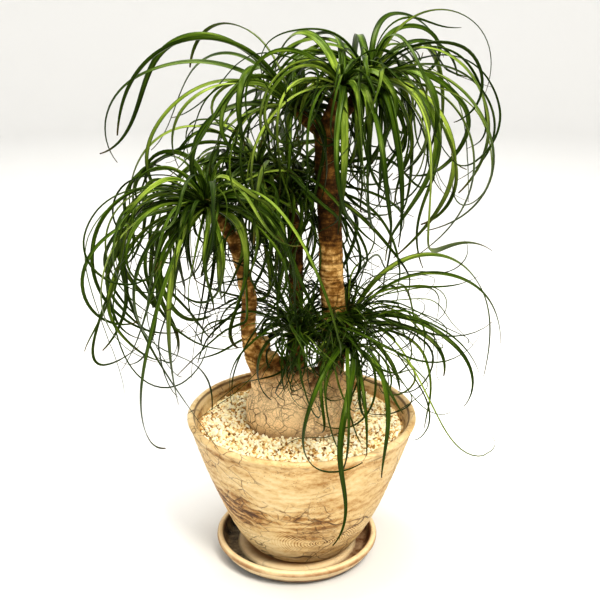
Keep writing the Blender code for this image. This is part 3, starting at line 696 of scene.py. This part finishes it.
def saucer_material():
    """The pot's body, with brown edges, painted shadow round the pot's foot, and a gutter with near black
    painted shadow on its left side and a reddish brown stain on its right.
    """
    g, value, marks, _, _ = stoneware("saucer_stoneware", -0.04)
    from_axis = g.from_axis(SAUCER_CENTRE)
    blotch = g.noise(24.0, 5.0, 0.65)
    inner_lip = SAUCER_RADIUS - SAUCER_LIP
    ragged = g.plus(from_axis, g.times(blotch, 0.004))
    colour = g.mix(0.45, glaze(g, value, g.times(marks, 0.45)), (0.900, 0.730, 0.470))
    edges = g.most(g.near(from_axis, inner_lip + 0.0006, 0.0005, 0.0018),
                   g.level(from_axis, SAUCER_RADIUS - 0.0016, SAUCER_RADIUS - 0.0002))
    colour = g.mix(g.times(edges, g.level(blotch, 0.36, 0.56, 0.35, 0.85)), colour, (0.230, 0.090, 0.020))
    # Painted shadow: a reddish brown ring on the saucer right round the pot's foot.
    painted_foot_shadow = g.level(ragged, POT_FOOT_RADIUS + 0.004, POT_FOOT_RADIUS + 0.012, 0.75, 0.0)
    colour = g.mix(painted_foot_shadow, colour, (0.260, 0.100, 0.020))
    under = g.times(g.level(g.along_axis("Z"), 0.006, 0.014, 0.7, 0.0),
                    g.level(from_axis, SAUCER_RADIUS - 0.0045, SAUCER_RADIUS - 0.003))
    colour = g.mix(under, colour, (0.300, 0.150, 0.045))
    # The gutter: painted shadow, near black on the left, turning into a reddish brown stain towards the
    # right.
    gutter = g.times(g.level(from_axis, SAUCER_STEP_RADIUS - 0.001, SAUCER_STEP_RADIUS + 0.002),
                     g.level(ragged, inner_lip + 0.0025, inner_lip + 0.0055, 1.0, 0.0))
    gutter = g.times(gutter, g.level(g.noise(70.0, 5.0, 0.7), 0.36, 0.64, 1.0, 0.62))
    stain = g.mix(g.level(g.along_axis("X"), -0.050, 0.000), (0.012, 0.009, 0.006), (0.110, 0.036, 0.007))
    g.colour(g.mix(gutter, colour, stain))
    return g.material


def gravel_material():
    """Pumice grains from near white to ochre, with rough pitted faces."""
    g = Graph("pumice_gravel")
    pits = g.noise(900.0, 3.0, 0.7)
    value = g.plus(g.attribute("tone"), g.swing(pits, 0.35))
    g.colour(g.steps(value, (0.02, (0.110, 0.050, 0.012)), (0.12, (0.600, 0.340, 0.090)),
                     (0.22, (0.930, 0.765, 0.420)), (0.46, (0.975, 0.880, 0.580)),
                     (1.0, (0.980, 0.940, 0.770))))
    g.bump(pits, 0.6, 0.0004)
    g.set(Roughness=0.9)
    return g.material


def earth_material(name, dark, light, scale):
    """Crumbly ground: soil under the gravel, clay balls below it."""
    g = Graph(name)
    clods = g.noise(scale, 6.0, 0.7)
    g.colour(g.steps(clods, (0.35, dark), (0.65, light)))
    g.bump(clods, 0.8, 0.002)
    g.set(Roughness=0.95)
    return g.material


def floor_material():
    """A plain pale floor."""
    g = Graph("plain_floor")
    g.set(Base_Color=(0.66, 0.655, 0.64, 1.0), Roughness=0.75, Specular_IOR_Level=0.2)
    return g.material


# ---------------------------------------------------------------- mesh helpers
def in_scene(name, data):
    """An object for a mesh, a light or a camera, put into the scene."""
    made = bpy.data.objects.new(name, data)
    bpy.context.scene.collection.objects.link(made)
    return made


def store(mesh, numbers):
    """Stores numbers on a mesh's points, for its material."""
    for key, values in numbers.items():
        mesh.attributes.new(key, "FLOAT", "POINT").data.foreach_set("value", values)


def mesh_object(name, points, faces, material, numbers=None, smooth=True):
    """An object from points and faces, with numbers stored on its points."""
    mesh = bpy.data.meshes.new(name)
    mesh.from_pydata(points, [], faces)
    store(mesh, numbers or {})
    if smooth:
        mesh.shade_smooth()
    mesh.materials.append(material)
    return in_scene(name, mesh)


def on_circle(radius, angle, height):
    return (radius * math.cos(angle), radius * math.sin(angle), height)


def band(first, second):
    """Faces between two rings with the same number of points."""
    count = len(first)
    return [(first[k], second[k], second[(k + 1) % count], first[(k + 1) % count]) for k in range(count)]


def bands(start, rings, sides):
    """Faces along rings of points that follow one another in a mesh."""
    loops = [range(start + n * sides, start + (n + 1) * sides) for n in range(rings)]
    return [face for pair in zip(loops, loops[1:]) for face in band(*pair)]


def place(piece, slot, *nodes):
    """The piece rides on the plant's one body, and the given nodes are hidden."""
    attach(piece, "root")
    if nodes:
        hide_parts(*nodes)
    return piece


def arc(centre, radius, start, end, steps):
    """Points of a round stretch of an outline, angles in degrees."""
    angles = [math.radians(start + (end - start) * i / steps) for i in range(steps + 1)]
    return [(centre[0] + radius * math.cos(a), centre[1] + radius * math.sin(a)) for a in angles]


def resample(outline, longest):
    """Splits an outline's long stretches, so that a displaced surface has points enough."""
    line = [outline[0]]
    for (r0, z0), (r1, z1) in zip(outline, outline[1:]):
        count = max(1, math.ceil(math.hypot(r1 - r0, z1 - z0) / longest))
        line += [(r0 + (r1 - r0) * k / count, z0 + (z1 - z0) * k / count) for k in range(1, count + 1)]
    return line


def lathe(name, outline, centre, material, wash_and_shade, dent):
    """Turns an outline about Z; dent moves each point in or out, and the other given function's numbers (on
    the pot: its brown wash and painted shade) are stored for the material.
    """
    closed_on_axis = outline[0][0] < 1e-9
    points = []
    washed_and_shaded = []
    rings = []
    for index, (radius, height) in enumerate(outline):
        if radius < 1e-9:
            rings.append([len(points)])
            points.append((centre[0], centre[1], height))
            washed_and_shaded.append(0.0)
            continue
        ring = []
        for k in range(TURN_SIDES):
            angle = 2 * math.pi * k / TURN_SIDES
            reach = radius + dent(radius, height, angle)
            ring.append(len(points))
            points.append((centre[0] + reach * math.cos(angle), centre[1] + reach * math.sin(angle),
                           height))
            washed_and_shaded.append(wash_and_shade(radius, height, angle) if wash_and_shade else 0.0)
        rings.append(ring)
    faces = []
    pairs = list(zip(rings, rings[1:]))
    if not closed_on_axis:
        pairs.append((rings[-1], rings[0]))
    for upper, lower in pairs:
        if len(upper) == 1:
            faces += [(upper[0], lower[k], lower[(k + 1) % TURN_SIDES]) for k in range(TURN_SIDES)]
        elif len(lower) == 1:
            faces += [(upper[k], lower[0], upper[(k + 1) % TURN_SIDES]) for k in range(TURN_SIDES)]
        else:
            faces += band(upper, lower)
    return mesh_object(name, points, faces, material, {"wash_and_shade": washed_and_shaded})


# ---------------------------------------------------------------- pot, saucer and fillings
def throwing_marks(radius, height, angle):
    """Shallow rings and an uneven hand-thrown wall."""
    spot = Vector((math.cos(angle) * radius * 9, math.sin(angle) * radius * 9, height * 12))
    rings = math.sin(height * 2 * math.pi / 0.011 + 1.5 * noise.noise(spot))
    return 0.00016 * rings + 0.0007 * noise.noise(spot * 1.7)


def make_pot(material):
    """The finer pot: rounded lip, hand-thrown wall, foot ring and drain hole."""
    lip = POT_WALL / 2
    below_lip = POT_RIM_Z - 1.6 * lip
    outline = arc((POT_RIM_RADIUS - lip, POT_RIM_Z - lip), lip, 165, 0, 12)
    for k in range(41):
        height = POT_FOOT_Z + (below_lip - POT_FOOT_Z) * (1 - k / 40) ** 1.8
        outline.append((pot_outer_radius(height), height))
    foot_inside = POT_FOOT_RADIUS - FOOT_RING_WIDTH
    recess = POT_FOOT_Z + FOOT_RING_DEPTH
    outline += [(foot_inside, POT_FOOT_Z), (foot_inside - 0.002, recess)]
    outline += [(DRAIN_RADIUS, recess), (DRAIN_RADIUS, POT_FLOOR_Z)]
    outline += [(pot_inner_radius(z), z) for z in np.linspace(POT_FLOOR_Z, POT_RIM_Z - 0.006, 24)]

    def wash_and_shade(radius, height, angle):
        inside = radius < pot_outer_radius(height) - POT_WALL * 0.7
        spot = Vector((math.cos(angle) * 2.2, math.sin(angle) * 2.2, height * 26))
        cloud = 0.5 + 0.5 * noise.fractal(spot, 0.9, 2.1, 4)
        under_lip = math.exp(-((height - (POT_RIM_Z - 0.011)) / 0.0035) ** 2) * (0.55 if inside else 0.40)
        # Painted shade: browner on the flank turned to the left front, mottled like the wash.
        facing = max(0.0, math.cos(angle - math.radians(230)))
        flank = math.exp(-((height - 0.088) / 0.030) ** 2) * facing ** 1.2
        # Browner just above the foot: painted shade where the saucer shades the wall, together with the
        # wash there.
        foot = math.exp(-((height - POT_FOOT_Z) / 0.006) ** 2) * 0.35
        browned = under_lip * (0.5 + cloud) + flank * (cloud - 0.15) * 1.9 + foot * cloud
        return max(0.0, min(1.0, browned))

    return place(lathe("pot_fine", resample(outline, 0.0035), (0.0, 0.0), material, wash_and_shade, throwing_marks),
                 "pot_stoneware", "pot")


def make_saucer(material):
    """The finer saucer: soft lip, a gutter that its material darkens with painted shadow and a reddish
    brown stain, and a raised middle.
    """
    lip = SAUCER_LIP / 2
    outline = [(0.0, SAUCER_STEP_HEIGHT), (SAUCER_STEP_RADIUS - 0.004, SAUCER_STEP_HEIGHT)]
    outline += [(SAUCER_STEP_RADIUS - 0.0018, SAUCER_STEP_HEIGHT - 0.0003),
                (SAUCER_STEP_RADIUS - 0.0004, SAUCER_STEP_HEIGHT - 0.0011),
                (SAUCER_STEP_RADIUS + 0.0006, SAUCER_FLOOR + 0.0007),
                (SAUCER_STEP_RADIUS + 0.002, SAUCER_FLOOR)]
    outline += [(SAUCER_RADIUS - SAUCER_LIP - inward, SAUCER_FLOOR + up)
                for inward, up in ((0.0065, 0.0003), (0.004, 0.0018), (0.0018, 0.0060))]
    outline += arc((SAUCER_RADIUS - lip, SAUCER_HEIGHT - lip), lip, 165, -20, 14)
    outline += [(SAUCER_RADIUS - 0.0025, 0.0140), (SAUCER_RADIUS - 0.006, 0.008),
                (SAUCER_RADIUS - 0.011, 0.003), (SAUCER_FOOT_RADIUS + 0.002, 0.0), (0.0, 0.0)]

    def dent(radius, height, angle):
        return 0.0 if height < 0.001 else 0.5 * throwing_marks(radius, height, angle)

    return place(lathe("saucer_fine", resample(outline, 0.003), SAUCER_CENTRE, material, None, dent),
                 "saucer_stoneware", "saucer")


def grain_shapes(count):
    """Angular prototype grains of unit size, each the hull of a handful of points."""
    wild = random.Random(5)
    shapes = []
    for _ in range(count):
        hull = bmesh.new()
        for _ in range(15):
            way = Vector((wild.gauss(0, 1), wild.gauss(0, 1), wild.gauss(0, 1))).normalized()
            hull.verts.new(way * wild.uniform(0.8, 1.0))
        bmesh.ops.convex_hull(hull, input=hull.verts)
        loose = [v for v in hull.verts if not v.link_faces]
        bmesh.ops.delete(hull, geom=loose, context="VERTS")
        hull.verts.index_update()
        points = np.array([v.co[:] for v in hull.verts])
        faces = [[v.index for v in face.verts] for face in hull.faces]
        shapes.append((points, faces))
        hull.free()
    return shapes


def foot_radius_at(angle, height):
    """How far the swollen foot reaches from the pot's axis in a direction, at one height."""
    reach = 0.0
    for centre, half_axes in BULGES[:3]:
        lift = (height - centre[2]) / half_axes[2]
        if abs(lift) >= 1:
            continue
        share = math.sqrt(1 - lift ** 2)
        for k in range(72):
            turn = 2 * math.pi * k / 72
            x = centre[0] + half_axes[0] * share * math.cos(turn)
            y = centre[1] + half_axes[1] * share * math.sin(turn)
            if abs((math.atan2(y, x) - angle + math.pi) % (2 * math.pi) - math.pi) < 0.07:
                reach = max(reach, math.hypot(x, y))
    return reach


def foot_index(angle):
    """Which of the measured directions an angle from minus to plus a half turn falls in."""
    return int((angle + math.pi) / (2 * math.pi) * FOOT_DIRECTIONS) % FOOT_DIRECTIONS


def make_grains(material, wild, wall, foot):
    """Two layers of separate grains, each a turned and squashed copy of a prototype."""
    shapes = grain_shapes(16)
    points, faces, tones = [], [], []
    rows = int(2 * wall / (GRAIN_SPACING * ROW_SPACING)) + 2
    for layer in range(2):
        for row in range(rows):
            for column in range(rows):
                if layer and wild.random() < 0.45:
                    continue
                shift = 0.5 * ((row + layer) % 2)
                x = (column - rows / 2 + shift + wild.uniform(-0.3, 0.3)) * GRAIN_SPACING
                y = (row - rows / 2 + wild.uniform(-0.3, 0.3)) * GRAIN_SPACING * ROW_SPACING
                size = wild.choice(GRAIN_RADII_MM) / 1000 * (1.0 if layer == 0 else 0.85)
                from_axis = math.hypot(x, y)
                inner = foot[foot_index(math.atan2(y, x))]
                if from_axis > wall - size * 0.9 or from_axis < inner - 0.0005:
                    continue
                swell = 0.0012 * noise.noise(Vector((x * 45, y * 45, 0.3)))
                near_wall = 0.0012 * max(0.0, 1 - (wall - from_axis) / 0.012)
                level = GRAVEL_TOP - 0.0022 + layer * 0.0019
                z = level + swell - near_wall + wild.uniform(-0.0004, 0.0004)
                shape, shape_faces = wild.choice(shapes)
                turn = Quaternion([wild.gauss(0, 1) for _ in range(4)])
                turn.normalize()
                squash = np.array([wild.uniform(0.8, 1.25), wild.uniform(0.8, 1.25),
                                   wild.uniform(0.7, 1.0)])
                placed = (shape * squash * size) @ np.array(turn.to_matrix()).T + np.array([x, y, z])
                start = len(points)
                points.extend(placed.tolist())
                faces.extend([[start + i for i in face] for face in shape_faces])
                tone = wild.betavariate(3.2, 2.0) if wild.random() > 0.07 else wild.uniform(0.0, 0.16)
                tones.extend([tone] * len(placed))
    grains = mesh_object("gravel_grains", points, faces, material, {"tone": tones}, smooth=False)
    place(grains, "pumice_gravel")


def make_bed(material, wild, wall, foot):
    """The rough closed ring of gravel under the separate grains, dark as painted shade in the gaps between
    them.
    """
    top = GRAVEL_TOP - 0.0024
    bottom = GRAVEL_LOW[2] + 0.0002
    points, tones = [], []
    for ring in range(BED_RINGS + 1):
        for k in range(BED_SIDES):
            angle = 2 * math.pi * k / BED_SIDES - math.pi
            inner = foot[k * FOOT_DIRECTIONS // BED_SIDES] - 0.004
            radius = inner + (wall - 0.0004 - inner) * ring / BED_RINGS
            rough = 0.0 if ring in (0, BED_RINGS) else wild.uniform(-0.0006, 0.0006)
            points.append(on_circle(radius, angle, top + rough))
            # Painted shade: the bed takes the darkest tones, so the gaps between grains show dark.
            tones.append(wild.uniform(0.0, 0.25))
    for ring in (BED_RINGS, 0):
        points += [(x, y, bottom) for x, y, _ in points[ring * BED_SIDES:(ring + 1) * BED_SIDES]]
        tones += [0.1] * BED_SIDES
    rings = BED_RINGS + 3
    last = range((rings - 1) * BED_SIDES, rings * BED_SIDES)
    faces = bands(0, rings, BED_SIDES) + band(last, range(BED_SIDES))
    bed = mesh_object("gravel_bed", points, faces, material, {"tone": tones})
    place(bed, "pumice_gravel", "top_gravel")


def make_gravel(material):
    """Loose pumice: separate grains on a rough bed."""
    wild = random.Random(11)
    wall = pot_inner_radius(GRAVEL_TOP) - 0.0006
    foot = [foot_radius_at(2 * math.pi * k / FOOT_DIRECTIONS - math.pi, GRAVEL_TOP)
            for k in range(FOOT_DIRECTIONS)]
    make_grains(material, wild, wall, foot)
    make_bed(material, wild, wall, foot)


def finish_hidden_layers():
    """Soil and drainage lie out of sight, and keep their CAD shape."""
    soil = earth_material("potting_soil", (0.020, 0.012, 0.008), (0.110, 0.068, 0.040), 160.0)
    clay = earth_material("drainage_clay", (0.200, 0.100, 0.055), (0.420, 0.240, 0.140), 90.0)
    for name, material in (("potting_soil", soil), ("drainage_stones", clay)):
        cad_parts[name].data.materials.clear()
        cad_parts[name].data.materials.append(material)


# ---------------------------------------------------------------- wood
def ellipsoid_into(shape, centre, half_axes, segments=36):
    """Adds an egg shape to a bmesh."""
    made = bmesh.ops.create_uvsphere(shape, u_segments=segments, v_segments=segments // 2,
                                     radius=1.0)["verts"]
    bmesh.ops.scale(shape, vec=half_axes, verts=made)
    bmesh.ops.translate(shape, vec=centre, verts=made)


def tube_into(shape, line, sides=20):
    """Adds a closed round tube along (x, y, z, radius) points."""
    rings = []
    side = Vector((1, 0, 0))
    for i, (x, y, z, radius) in enumerate(line):
        after, before = line[min(i + 1, len(line) - 1)], line[max(i - 1, 0)]
        ahead = (Vector(after[:3]) - Vector(before[:3])).normalized()
        side = (side - ahead * side.dot(ahead)).normalized()
        other = ahead.cross(side)
        ring = []
        for k in range(sides):
            angle = 2 * math.pi * k / sides
            out = side * math.cos(angle) + other * math.sin(angle)
            ring.append(shape.verts.new(Vector((x, y, z)) + out * radius))
        rings.append(ring)
    for lower, upper in zip(rings, rings[1:]):
        for k in range(sides):
            after = (k + 1) % sides
            shape.faces.new((lower[k], lower[after], upper[after], upper[k]))
    shape.faces.new(list(reversed(rings[0])))
    shape.faces.new(rings[-1])


def fused_wood():
    """Foot, knots, stems and buds fused into one fine surface."""
    shape = bmesh.new()
    for centre, half_axes in BULGES:
        ellipsoid_into(shape, centre, half_axes)
    for centre, radius in KNOTS:
        ellipsoid_into(shape, centre, (radius, radius, radius * 0.9), 16)
    for crown in CROWNS.values():
        ellipsoid_into(shape, crown.hub, (CROWN_RADIUS,) * 3, 16)
    for points in STEMS.values():
        tube_into(shape, smooth_line(points, 5))
    mesh = bpy.data.meshes.new("wood_source")
    shape.to_mesh(mesh)
    shape.free()
    source = in_scene("wood_source", mesh)
    fuse = source.modifiers.new("fuse", "REMESH")
    fuse.mode = "VOXEL"
    fuse.voxel_size = WOOD_VOXEL
    soften = source.modifiers.new("soften", "SMOOTH")
    soften.factor = 0.5
    soften.iterations = 6
    fine = bpy.data.meshes.new_from_object(source.evaluated_get(bpy.context.evaluated_depsgraph_get()))
    bpy.data.objects.remove(source)
    bpy.data.meshes.remove(mesh)
    return fine


def stem_search():
    """A search over points along every stem: what is found is (stem, distance up it, radius)."""
    known = []
    for name, points in STEMS.items():
        line = smooth_line(points, 9)
        run = 0.0
        for i, (x, y, z, radius) in enumerate(line):
            if i:
                run += (Vector((x, y, z)) - Vector(line[i - 1][:3])).length
            known.append((Vector((x, y, z)), name, run, radius))
    tree = kdtree.KDTree(len(known))
    for i, entry in enumerate(known):
        tree.insert(entry[0], i)
    tree.balance()
    return tree, known


def smoothstep(low, high, value):
    """Rises smoothly from nothing to one between two values."""
    t = max(0.0, min(1.0, (value - low) / (high - low)))
    return t * t * (3 - 2 * t)


def vectors(collection, field):
    """A mesh's vectors as rows of an array."""
    flat = np.empty(len(collection) * 3)
    collection.foreach_get(field, flat)
    return flat.reshape(-1, 3)


def make_wood(material):
    """Bark rings on the stems and a cracked skin on the foot, as relief and as shades for the material,
    with painted shadow on the foot's right side.
    """
    mesh = fused_wood()
    count = len(mesh.vertices)
    co = vectors(mesh.vertices, "co")
    normals = vectors(mesh.vertex_normals, "vector")
    tree, known = stem_search()
    moved = np.empty_like(co)
    shades = np.empty(count)
    cracks = np.empty(count)
    feet = np.empty(count)
    for i in range(count):
        spot = Vector(co[i])
        _, nearest, _ = tree.find(spot)
        centre, name, run, radius = known[nearest]
        on_stem = smoothstep(0.205, 0.232, spot.z)
        lumps = noise.fractal(spot * 70, 1.0, 2.0, 3)
        wobble = noise.noise(spot * 130)
        ring_gap = 0.0032 + 0.0008 * noise.noise(Vector((0.0, len(name), spot.z * 30)))
        ring = math.sin(2 * math.pi * run / ring_gap + 2.2 * noise.noise(spot * 95))
        scar = max(0.0, -ring) ** 2
        cells = noise.voronoi(spot * 85 + Vector((lumps, wobble, lumps)) * 0.6)[0]
        fissure = 1 - smoothstep(0.02, 0.12, cells[1] - cells[0])
        plates = noise.voronoi(spot * 170 + Vector((wobble, lumps, wobble)) * 0.5)[0]
        small = 1 - smoothstep(0.04, 0.24, plates[1] - plates[0])
        relief = on_stem * (0.00030 * ring + 0.00035 * wobble + 0.0005 * lumps)
        cracked = 0.00040 * fissure * (0.5 + 0.5 * wobble)
        relief += (1 - on_stem) * (0.0007 * lumps - cracked - 0.00022 * small)
        moved[i] = co[i] + normals[i] * relief
        shade_of_stem = STEM_SHADES.get(name, 0.28)
        if name == "right":
            shade_of_stem += 0.34 * (1 - smoothstep(0.345, 0.385, spot.z))
        cut = name in ("left", "pruned_stub") and normals[i][2] > 0.8 and spot.z > 0.245
        # Painted shadow: the foot's right side is made darker, and its brown top reaches lower towards the
        # right; the brown near the stems is the bark's own colour.
        painted_right_shadow = 0.16 * smoothstep(0.004, 0.022, spot.x + 0.006 * lumps)
        browning_and_right_shade = smoothstep(0.190, 0.224, spot.z + 0.25 * max(0.0, spot.x) + 0.012 * lumps)
        foot_shade = 1.12 - 0.46 * browning_and_right_shade - painted_right_shadow + 0.10 * lumps
        stem_shade = shade_of_stem + 0.07 * ring + 0.20 * lumps + (0.25 if cut else 0.0)
        shades[i] = stem_shade * on_stem + foot_shade * (1 - on_stem) - 0.05 * small * (1 - on_stem)
        cracks[i] = on_stem * scar * 0.55
        feet[i] = 1 - on_stem
    mesh.vertices.foreach_set("co", moved.ravel())
    store(mesh, {"shade": shades, "crack": cracks, "foot": feet})
    mesh.name = "wood_fine"
    mesh.shade_smooth()
    mesh.materials.clear()
    mesh.materials.append(material)
    place(in_scene("wood_fine", mesh), "bark", "caudex_and_trunks")


# ---------------------------------------------------------------- blades
class Blades:
    """Collects blades that become one mesh."""

    def __init__(self):
        self.points, self.faces = [], []
        self.numbers = {"across": [], "along": [], "tone": []}

    def add(self, line, width, fold, roll, twist, tone, wild):
        """One blade: a thin V-folded ribbon with a fine tip, turned by roll and twist on its way."""
        last = len(line) - 1
        side = None
        ripple = wild.uniform(0, 6.28)
        start = len(self.points)
        for i, spot in enumerate(line):
            t = i / last
            ahead = (line[min(i + 1, last)] - line[max(i - 1, 0)]).normalized()
            if side is None:
                side = ahead.cross(Vector((0, 0, 1))).normalized()
            side = (side - ahead * side.dot(ahead)).normalized()
            turned = math.radians(roll + twist * t + 8 * math.sin(7 * t + ripple))
            across = Quaternion(ahead, turned) @ side
            up = across.cross(ahead)
            half = width / 2 * self.taper(t)
            depth = half * fold * (1 - 0.6 * t)
            sheet = BLADE_SHEET * (0.35 + 0.65 * self.taper(t))
            for share, under in BLADE_SECTION:
                sink = -depth * (1 - abs(share)) - sheet * under * (1 - abs(share) * 0.5)
                self.points.append(tuple(spot + across * (half * share) + up * sink))
                self.numbers["across"].append(share)
                self.numbers["along"].append(t)
                self.numbers["tone"].append(tone)
        ring = len(BLADE_SECTION)
        self.faces += bands(start, len(line), ring)
        self.faces.append(tuple(start + k for k in range(ring)))
        self.faces.append(tuple(start + last * ring + k for k in reversed(range(ring))))

    @staticmethod
    def taper(t):
        """Share of the full width: wider where it clasps the stem, then a long run to a fine point."""
        clasp = 1.0 + 0.35 * max(0.0, 1 - t / 0.06)
        return clasp * (1 - 0.82 * t ** 2.6) * min(1.0, 0.86 + 1.4 * t)

    def piece(self, name, material):
        """The one mesh of all blades added."""
        return mesh_object(name, self.points, self.faces, material, self.numbers)


def detailed_line(hub, leaf):
    """A blade's centreline in fine sections."""
    return leaf_line(hub, leaf, max(12, round(leaf.length / BLADE_STEP)), 0.004)


def make_cad_blades(material, wood):
    """The CAD's own blades, each as a detailed piece in the same place."""
    wild = random.Random(77)
    for node, crown_name, leaf in settled_leaves(wood):
        blade = Blades()
        low = crown_name.startswith("low")
        width = wild.uniform(0.0058, 0.0074) if low else wild.uniform(0.0066, 0.0094)
        # Painted shade: blades of the low crowns take darker tones, and blades pointing to the back are
        # darkened further.
        tone = wild.uniform(0.35, 0.85) if low else wild.uniform(0.42, 1.0)
        if 60 < leaf.azimuth < 120:
            tone *= 0.55
        blade.add(detailed_line(CROWNS[crown_name].hub, leaf), width, wild.uniform(0.25, 0.5),
                  wild.uniform(-30, 30), wild.uniform(-90, 90), tone, wild)
        place(blade.piece(node.replace("leaf_", "blade_"), material), "leaf", node)


def inside_cad_box(line, lowest):
    """Whether a blade stays in the CAD's own box, and above a height."""
    (low_x, low_y, _), (high_x, high_y, high_z) = cad_bounds
    return all(low_x < p.x < high_x and low_y < p.y < high_y and lowest < p.z < high_z for p in line)


def hides_wood(line, wild):
    """Whether a blade hangs in front of bare wood that should stay in sight."""
    for (left, right), nearest, (low, high), share in BARE:
        hides = any(left < p.x < right and p.y < nearest and low < p.z < high for p in line)
        if hides and wild.random() < share:
            return True
    return False


def meander(line, wild, reach):
    """Bends a blade's far part sideways in a slow wave."""
    turn = wild.uniform(0.0, 2 * math.pi)
    waves = wild.uniform(0.5, 1.3)

    def loop(phase):
        return Vector((math.cos(phase), math.sin(phase), 0.3 * math.sin(2 * phase)))

    bends = []
    for i, point in enumerate(line):
        t = i / (len(line) - 1)
        swing = reach * t ** 1.6
        bends.append(point + loop(turn + 2 * math.pi * waves * t) * swing - loop(turn) * swing)
    return bends


def filling_line(filling, index, wood, wild):
    """A clear line for one blade, or None: turned by the golden angle, and lower the older it is."""
    hub = CROWNS[filling.crown].hub
    age = (index + 0.5) / filling.count
    for attempt in range(FILLING_TRIES):
        azimuth = index * GOLDEN_ANGLE + wild.uniform(-15, 15) + attempt * 11
        open_side = 0.5 + 0.5 * math.cos(math.radians(azimuth - filling.facing))
        rise = filling.young + (filling.old - filling.young) * age ** 0.85 + wild.uniform(-10, 10)
        length = wild.uniform(filling.shortest, filling.longest) * (0.72 + 0.28 * open_side)
        length *= 0.94 ** attempt * (0.55 + 0.45 * min(1.0, age / 0.25))
        if wild.random() < 0.3:
            flick = wild.choice((-1, 1)) * wild.uniform(60, 170)
        else:
            flick = wild.gauss(0, 1.6 * filling.curl)
        leaf = Leaf(azimuth, rise, filling.droop * wild.uniform(105, 150) + 0.3 * rise, length,
                    wild.uniform(0.55, 1.1), wild.gauss(0, filling.curl), flick)
        reach = wild.uniform(0.00015, 0.0006) * filling.curl * length / 0.2
        line = meander(detailed_line(hub, leaf), wild, reach)
        rough = line[::4] + [line[-1]]
        if not inside_cad_box(rough, filling.lowest) or hits_pot_or_foot(rough[1:], 0.004):
            continue
        if hides_wood(rough, wild):
            continue
        slim = blade_room(rough, 0.0, 1)
        if not any(slim.overlap(stem) for stem in wood):
            return line
    return None


def make_filling_blades(material, wood):
    """The many other blades of each crown, from upright young ones to hanging old ones."""
    for number, (name, filling) in enumerate(FILLINGS.items()):
        wild = random.Random(100 + number)
        blades = Blades()
        # Painted shade: the blades of the middle and low middle crowns, deep inside the plant, take darker
        # tones.
        dark = 0.75 if name.startswith(("middle", "low_middle")) else 1.0
        for index in range(filling.count):
            age = (index + 0.5) / filling.count
            line = filling_line(filling, index, wood, wild)
            if line is None:
                continue
            width = filling.width * wild.uniform(0.55, 1.1) * (0.6 + 0.4 * min(1.0, age / 0.25))
            tone = min(1.0, max(0.0, wild.gauss(0.52, 0.26))) * dark
            if age < 0.15:
                tone = min(tone, 0.6)
            blades.add(line, width, wild.uniform(0.2, 0.55), wild.uniform(-40, 40), wild.uniform(-150, 150),
                       tone, wild)
        for leaf in STANDING_OUT.get(name, ()):
            blades.add(detailed_line(CROWNS[filling.crown].hub, leaf), filling.width, 0.4, 0,
                       wild.uniform(-60, 60), 0.6, wild)
        place(blades.piece("blades_" + name, material), "leaf")
    loose = Blades()
    wild = random.Random(9)
    for points, width in LOOSE_BLADES:
        line = [Vector(p) for p in smooth_line(points, 5)]
        loose.add(line, width, 0.2, 0, 40, 0.35, wild)
    place(loose.piece("blades_loose_ends", material), "leaf")


# ---------------------------------------------------------------- stage
def make_stage():
    """A pale floor that curves up into a wall all round."""
    turns = [math.radians(a) for a in range(0, 91, 6)]
    profile = [(STAGE_FLAT + STAGE_BEND * math.sin(a), STAGE_BEND * (1 - math.cos(a))) for a in turns]
    profile.append((STAGE_FLAT + STAGE_BEND, STAGE_TOP))
    points = [(0.0, 0.0, 0.0)]
    for radius, height in profile:
        points += [on_circle(radius, 2 * math.pi * k / STAGE_SIDES, height) for k in range(STAGE_SIDES)]
    faces = [(0, 1 + k, 1 + (k + 1) % STAGE_SIDES) for k in range(STAGE_SIDES)]
    faces += bands(1, len(profile), STAGE_SIDES)
    mesh_object("studio_floor", points, faces, floor_material())


def area_light(name, spot, target, size, power, colour):
    """A soft square light that points at a target."""
    light = bpy.data.lights.new(name, "AREA")
    light.size = size
    light.energy = power
    light.color = colour
    lamp = in_scene(name, light)
    lamp.location = spot
    lamp.rotation_euler = (Vector(target) - Vector(spot)).to_track_quat("-Z", "Y").to_euler()


def make_lights():
    """Bright, soft studio light: a key from the right front, a top light, and lit walls all round."""
    for name, spot, size, power, colour in LIGHTS:
        area_light(name, spot, LIT_SPOT, size, power, colour)
    for k in range(4):
        turn = math.radians(90 * k + 90)
        area_light(f"wall_{k + 1}", on_circle(1.6, turn, 2.8), on_circle(4.6, turn, 0.6), 1.2, WALL_LIGHT,
                   (1.0, 1.0, 1.0))
    world = bpy.data.worlds.new("studio")
    world.use_nodes = True
    background = world.node_tree.nodes["Background"].inputs
    background["Color"].default_value = (1.0, 1.0, 1.0, 1.0)
    background["Strength"].default_value = WORLD_LIGHT
    bpy.context.scene.world = world


def make_camera():
    """Eye level with the crowns, looking down on the pot."""
    camera = bpy.data.cameras.new("camera")
    camera.sensor_width = CAMERA_SENSOR
    camera.lens = CAMERA_LENS
    eye = in_scene("camera", camera)
    eye.location = CAMERA_SPOT
    eye.rotation_euler = (math.radians(90 - CAMERA_TILT), 0.0, 0.0)
    bpy.context.scene.camera = eye


# ---------------------------------------------------------------- the whole picture
make_camera()
make_lights()
make_stage()
bpy.context.scene.view_settings.view_transform = "Standard"
bpy.context.scene.view_settings.look = "Medium High Contrast"

green = leaf_material()
stems = [stem_room(points) for points in STEMS.values()]
make_cad_blades(green, stems)
make_filling_blades(green, stems)
make_wood(bark_material())
make_pot(pot_material())
make_saucer(saucer_material())
make_gravel(gravel_material())
finish_hidden_layers()
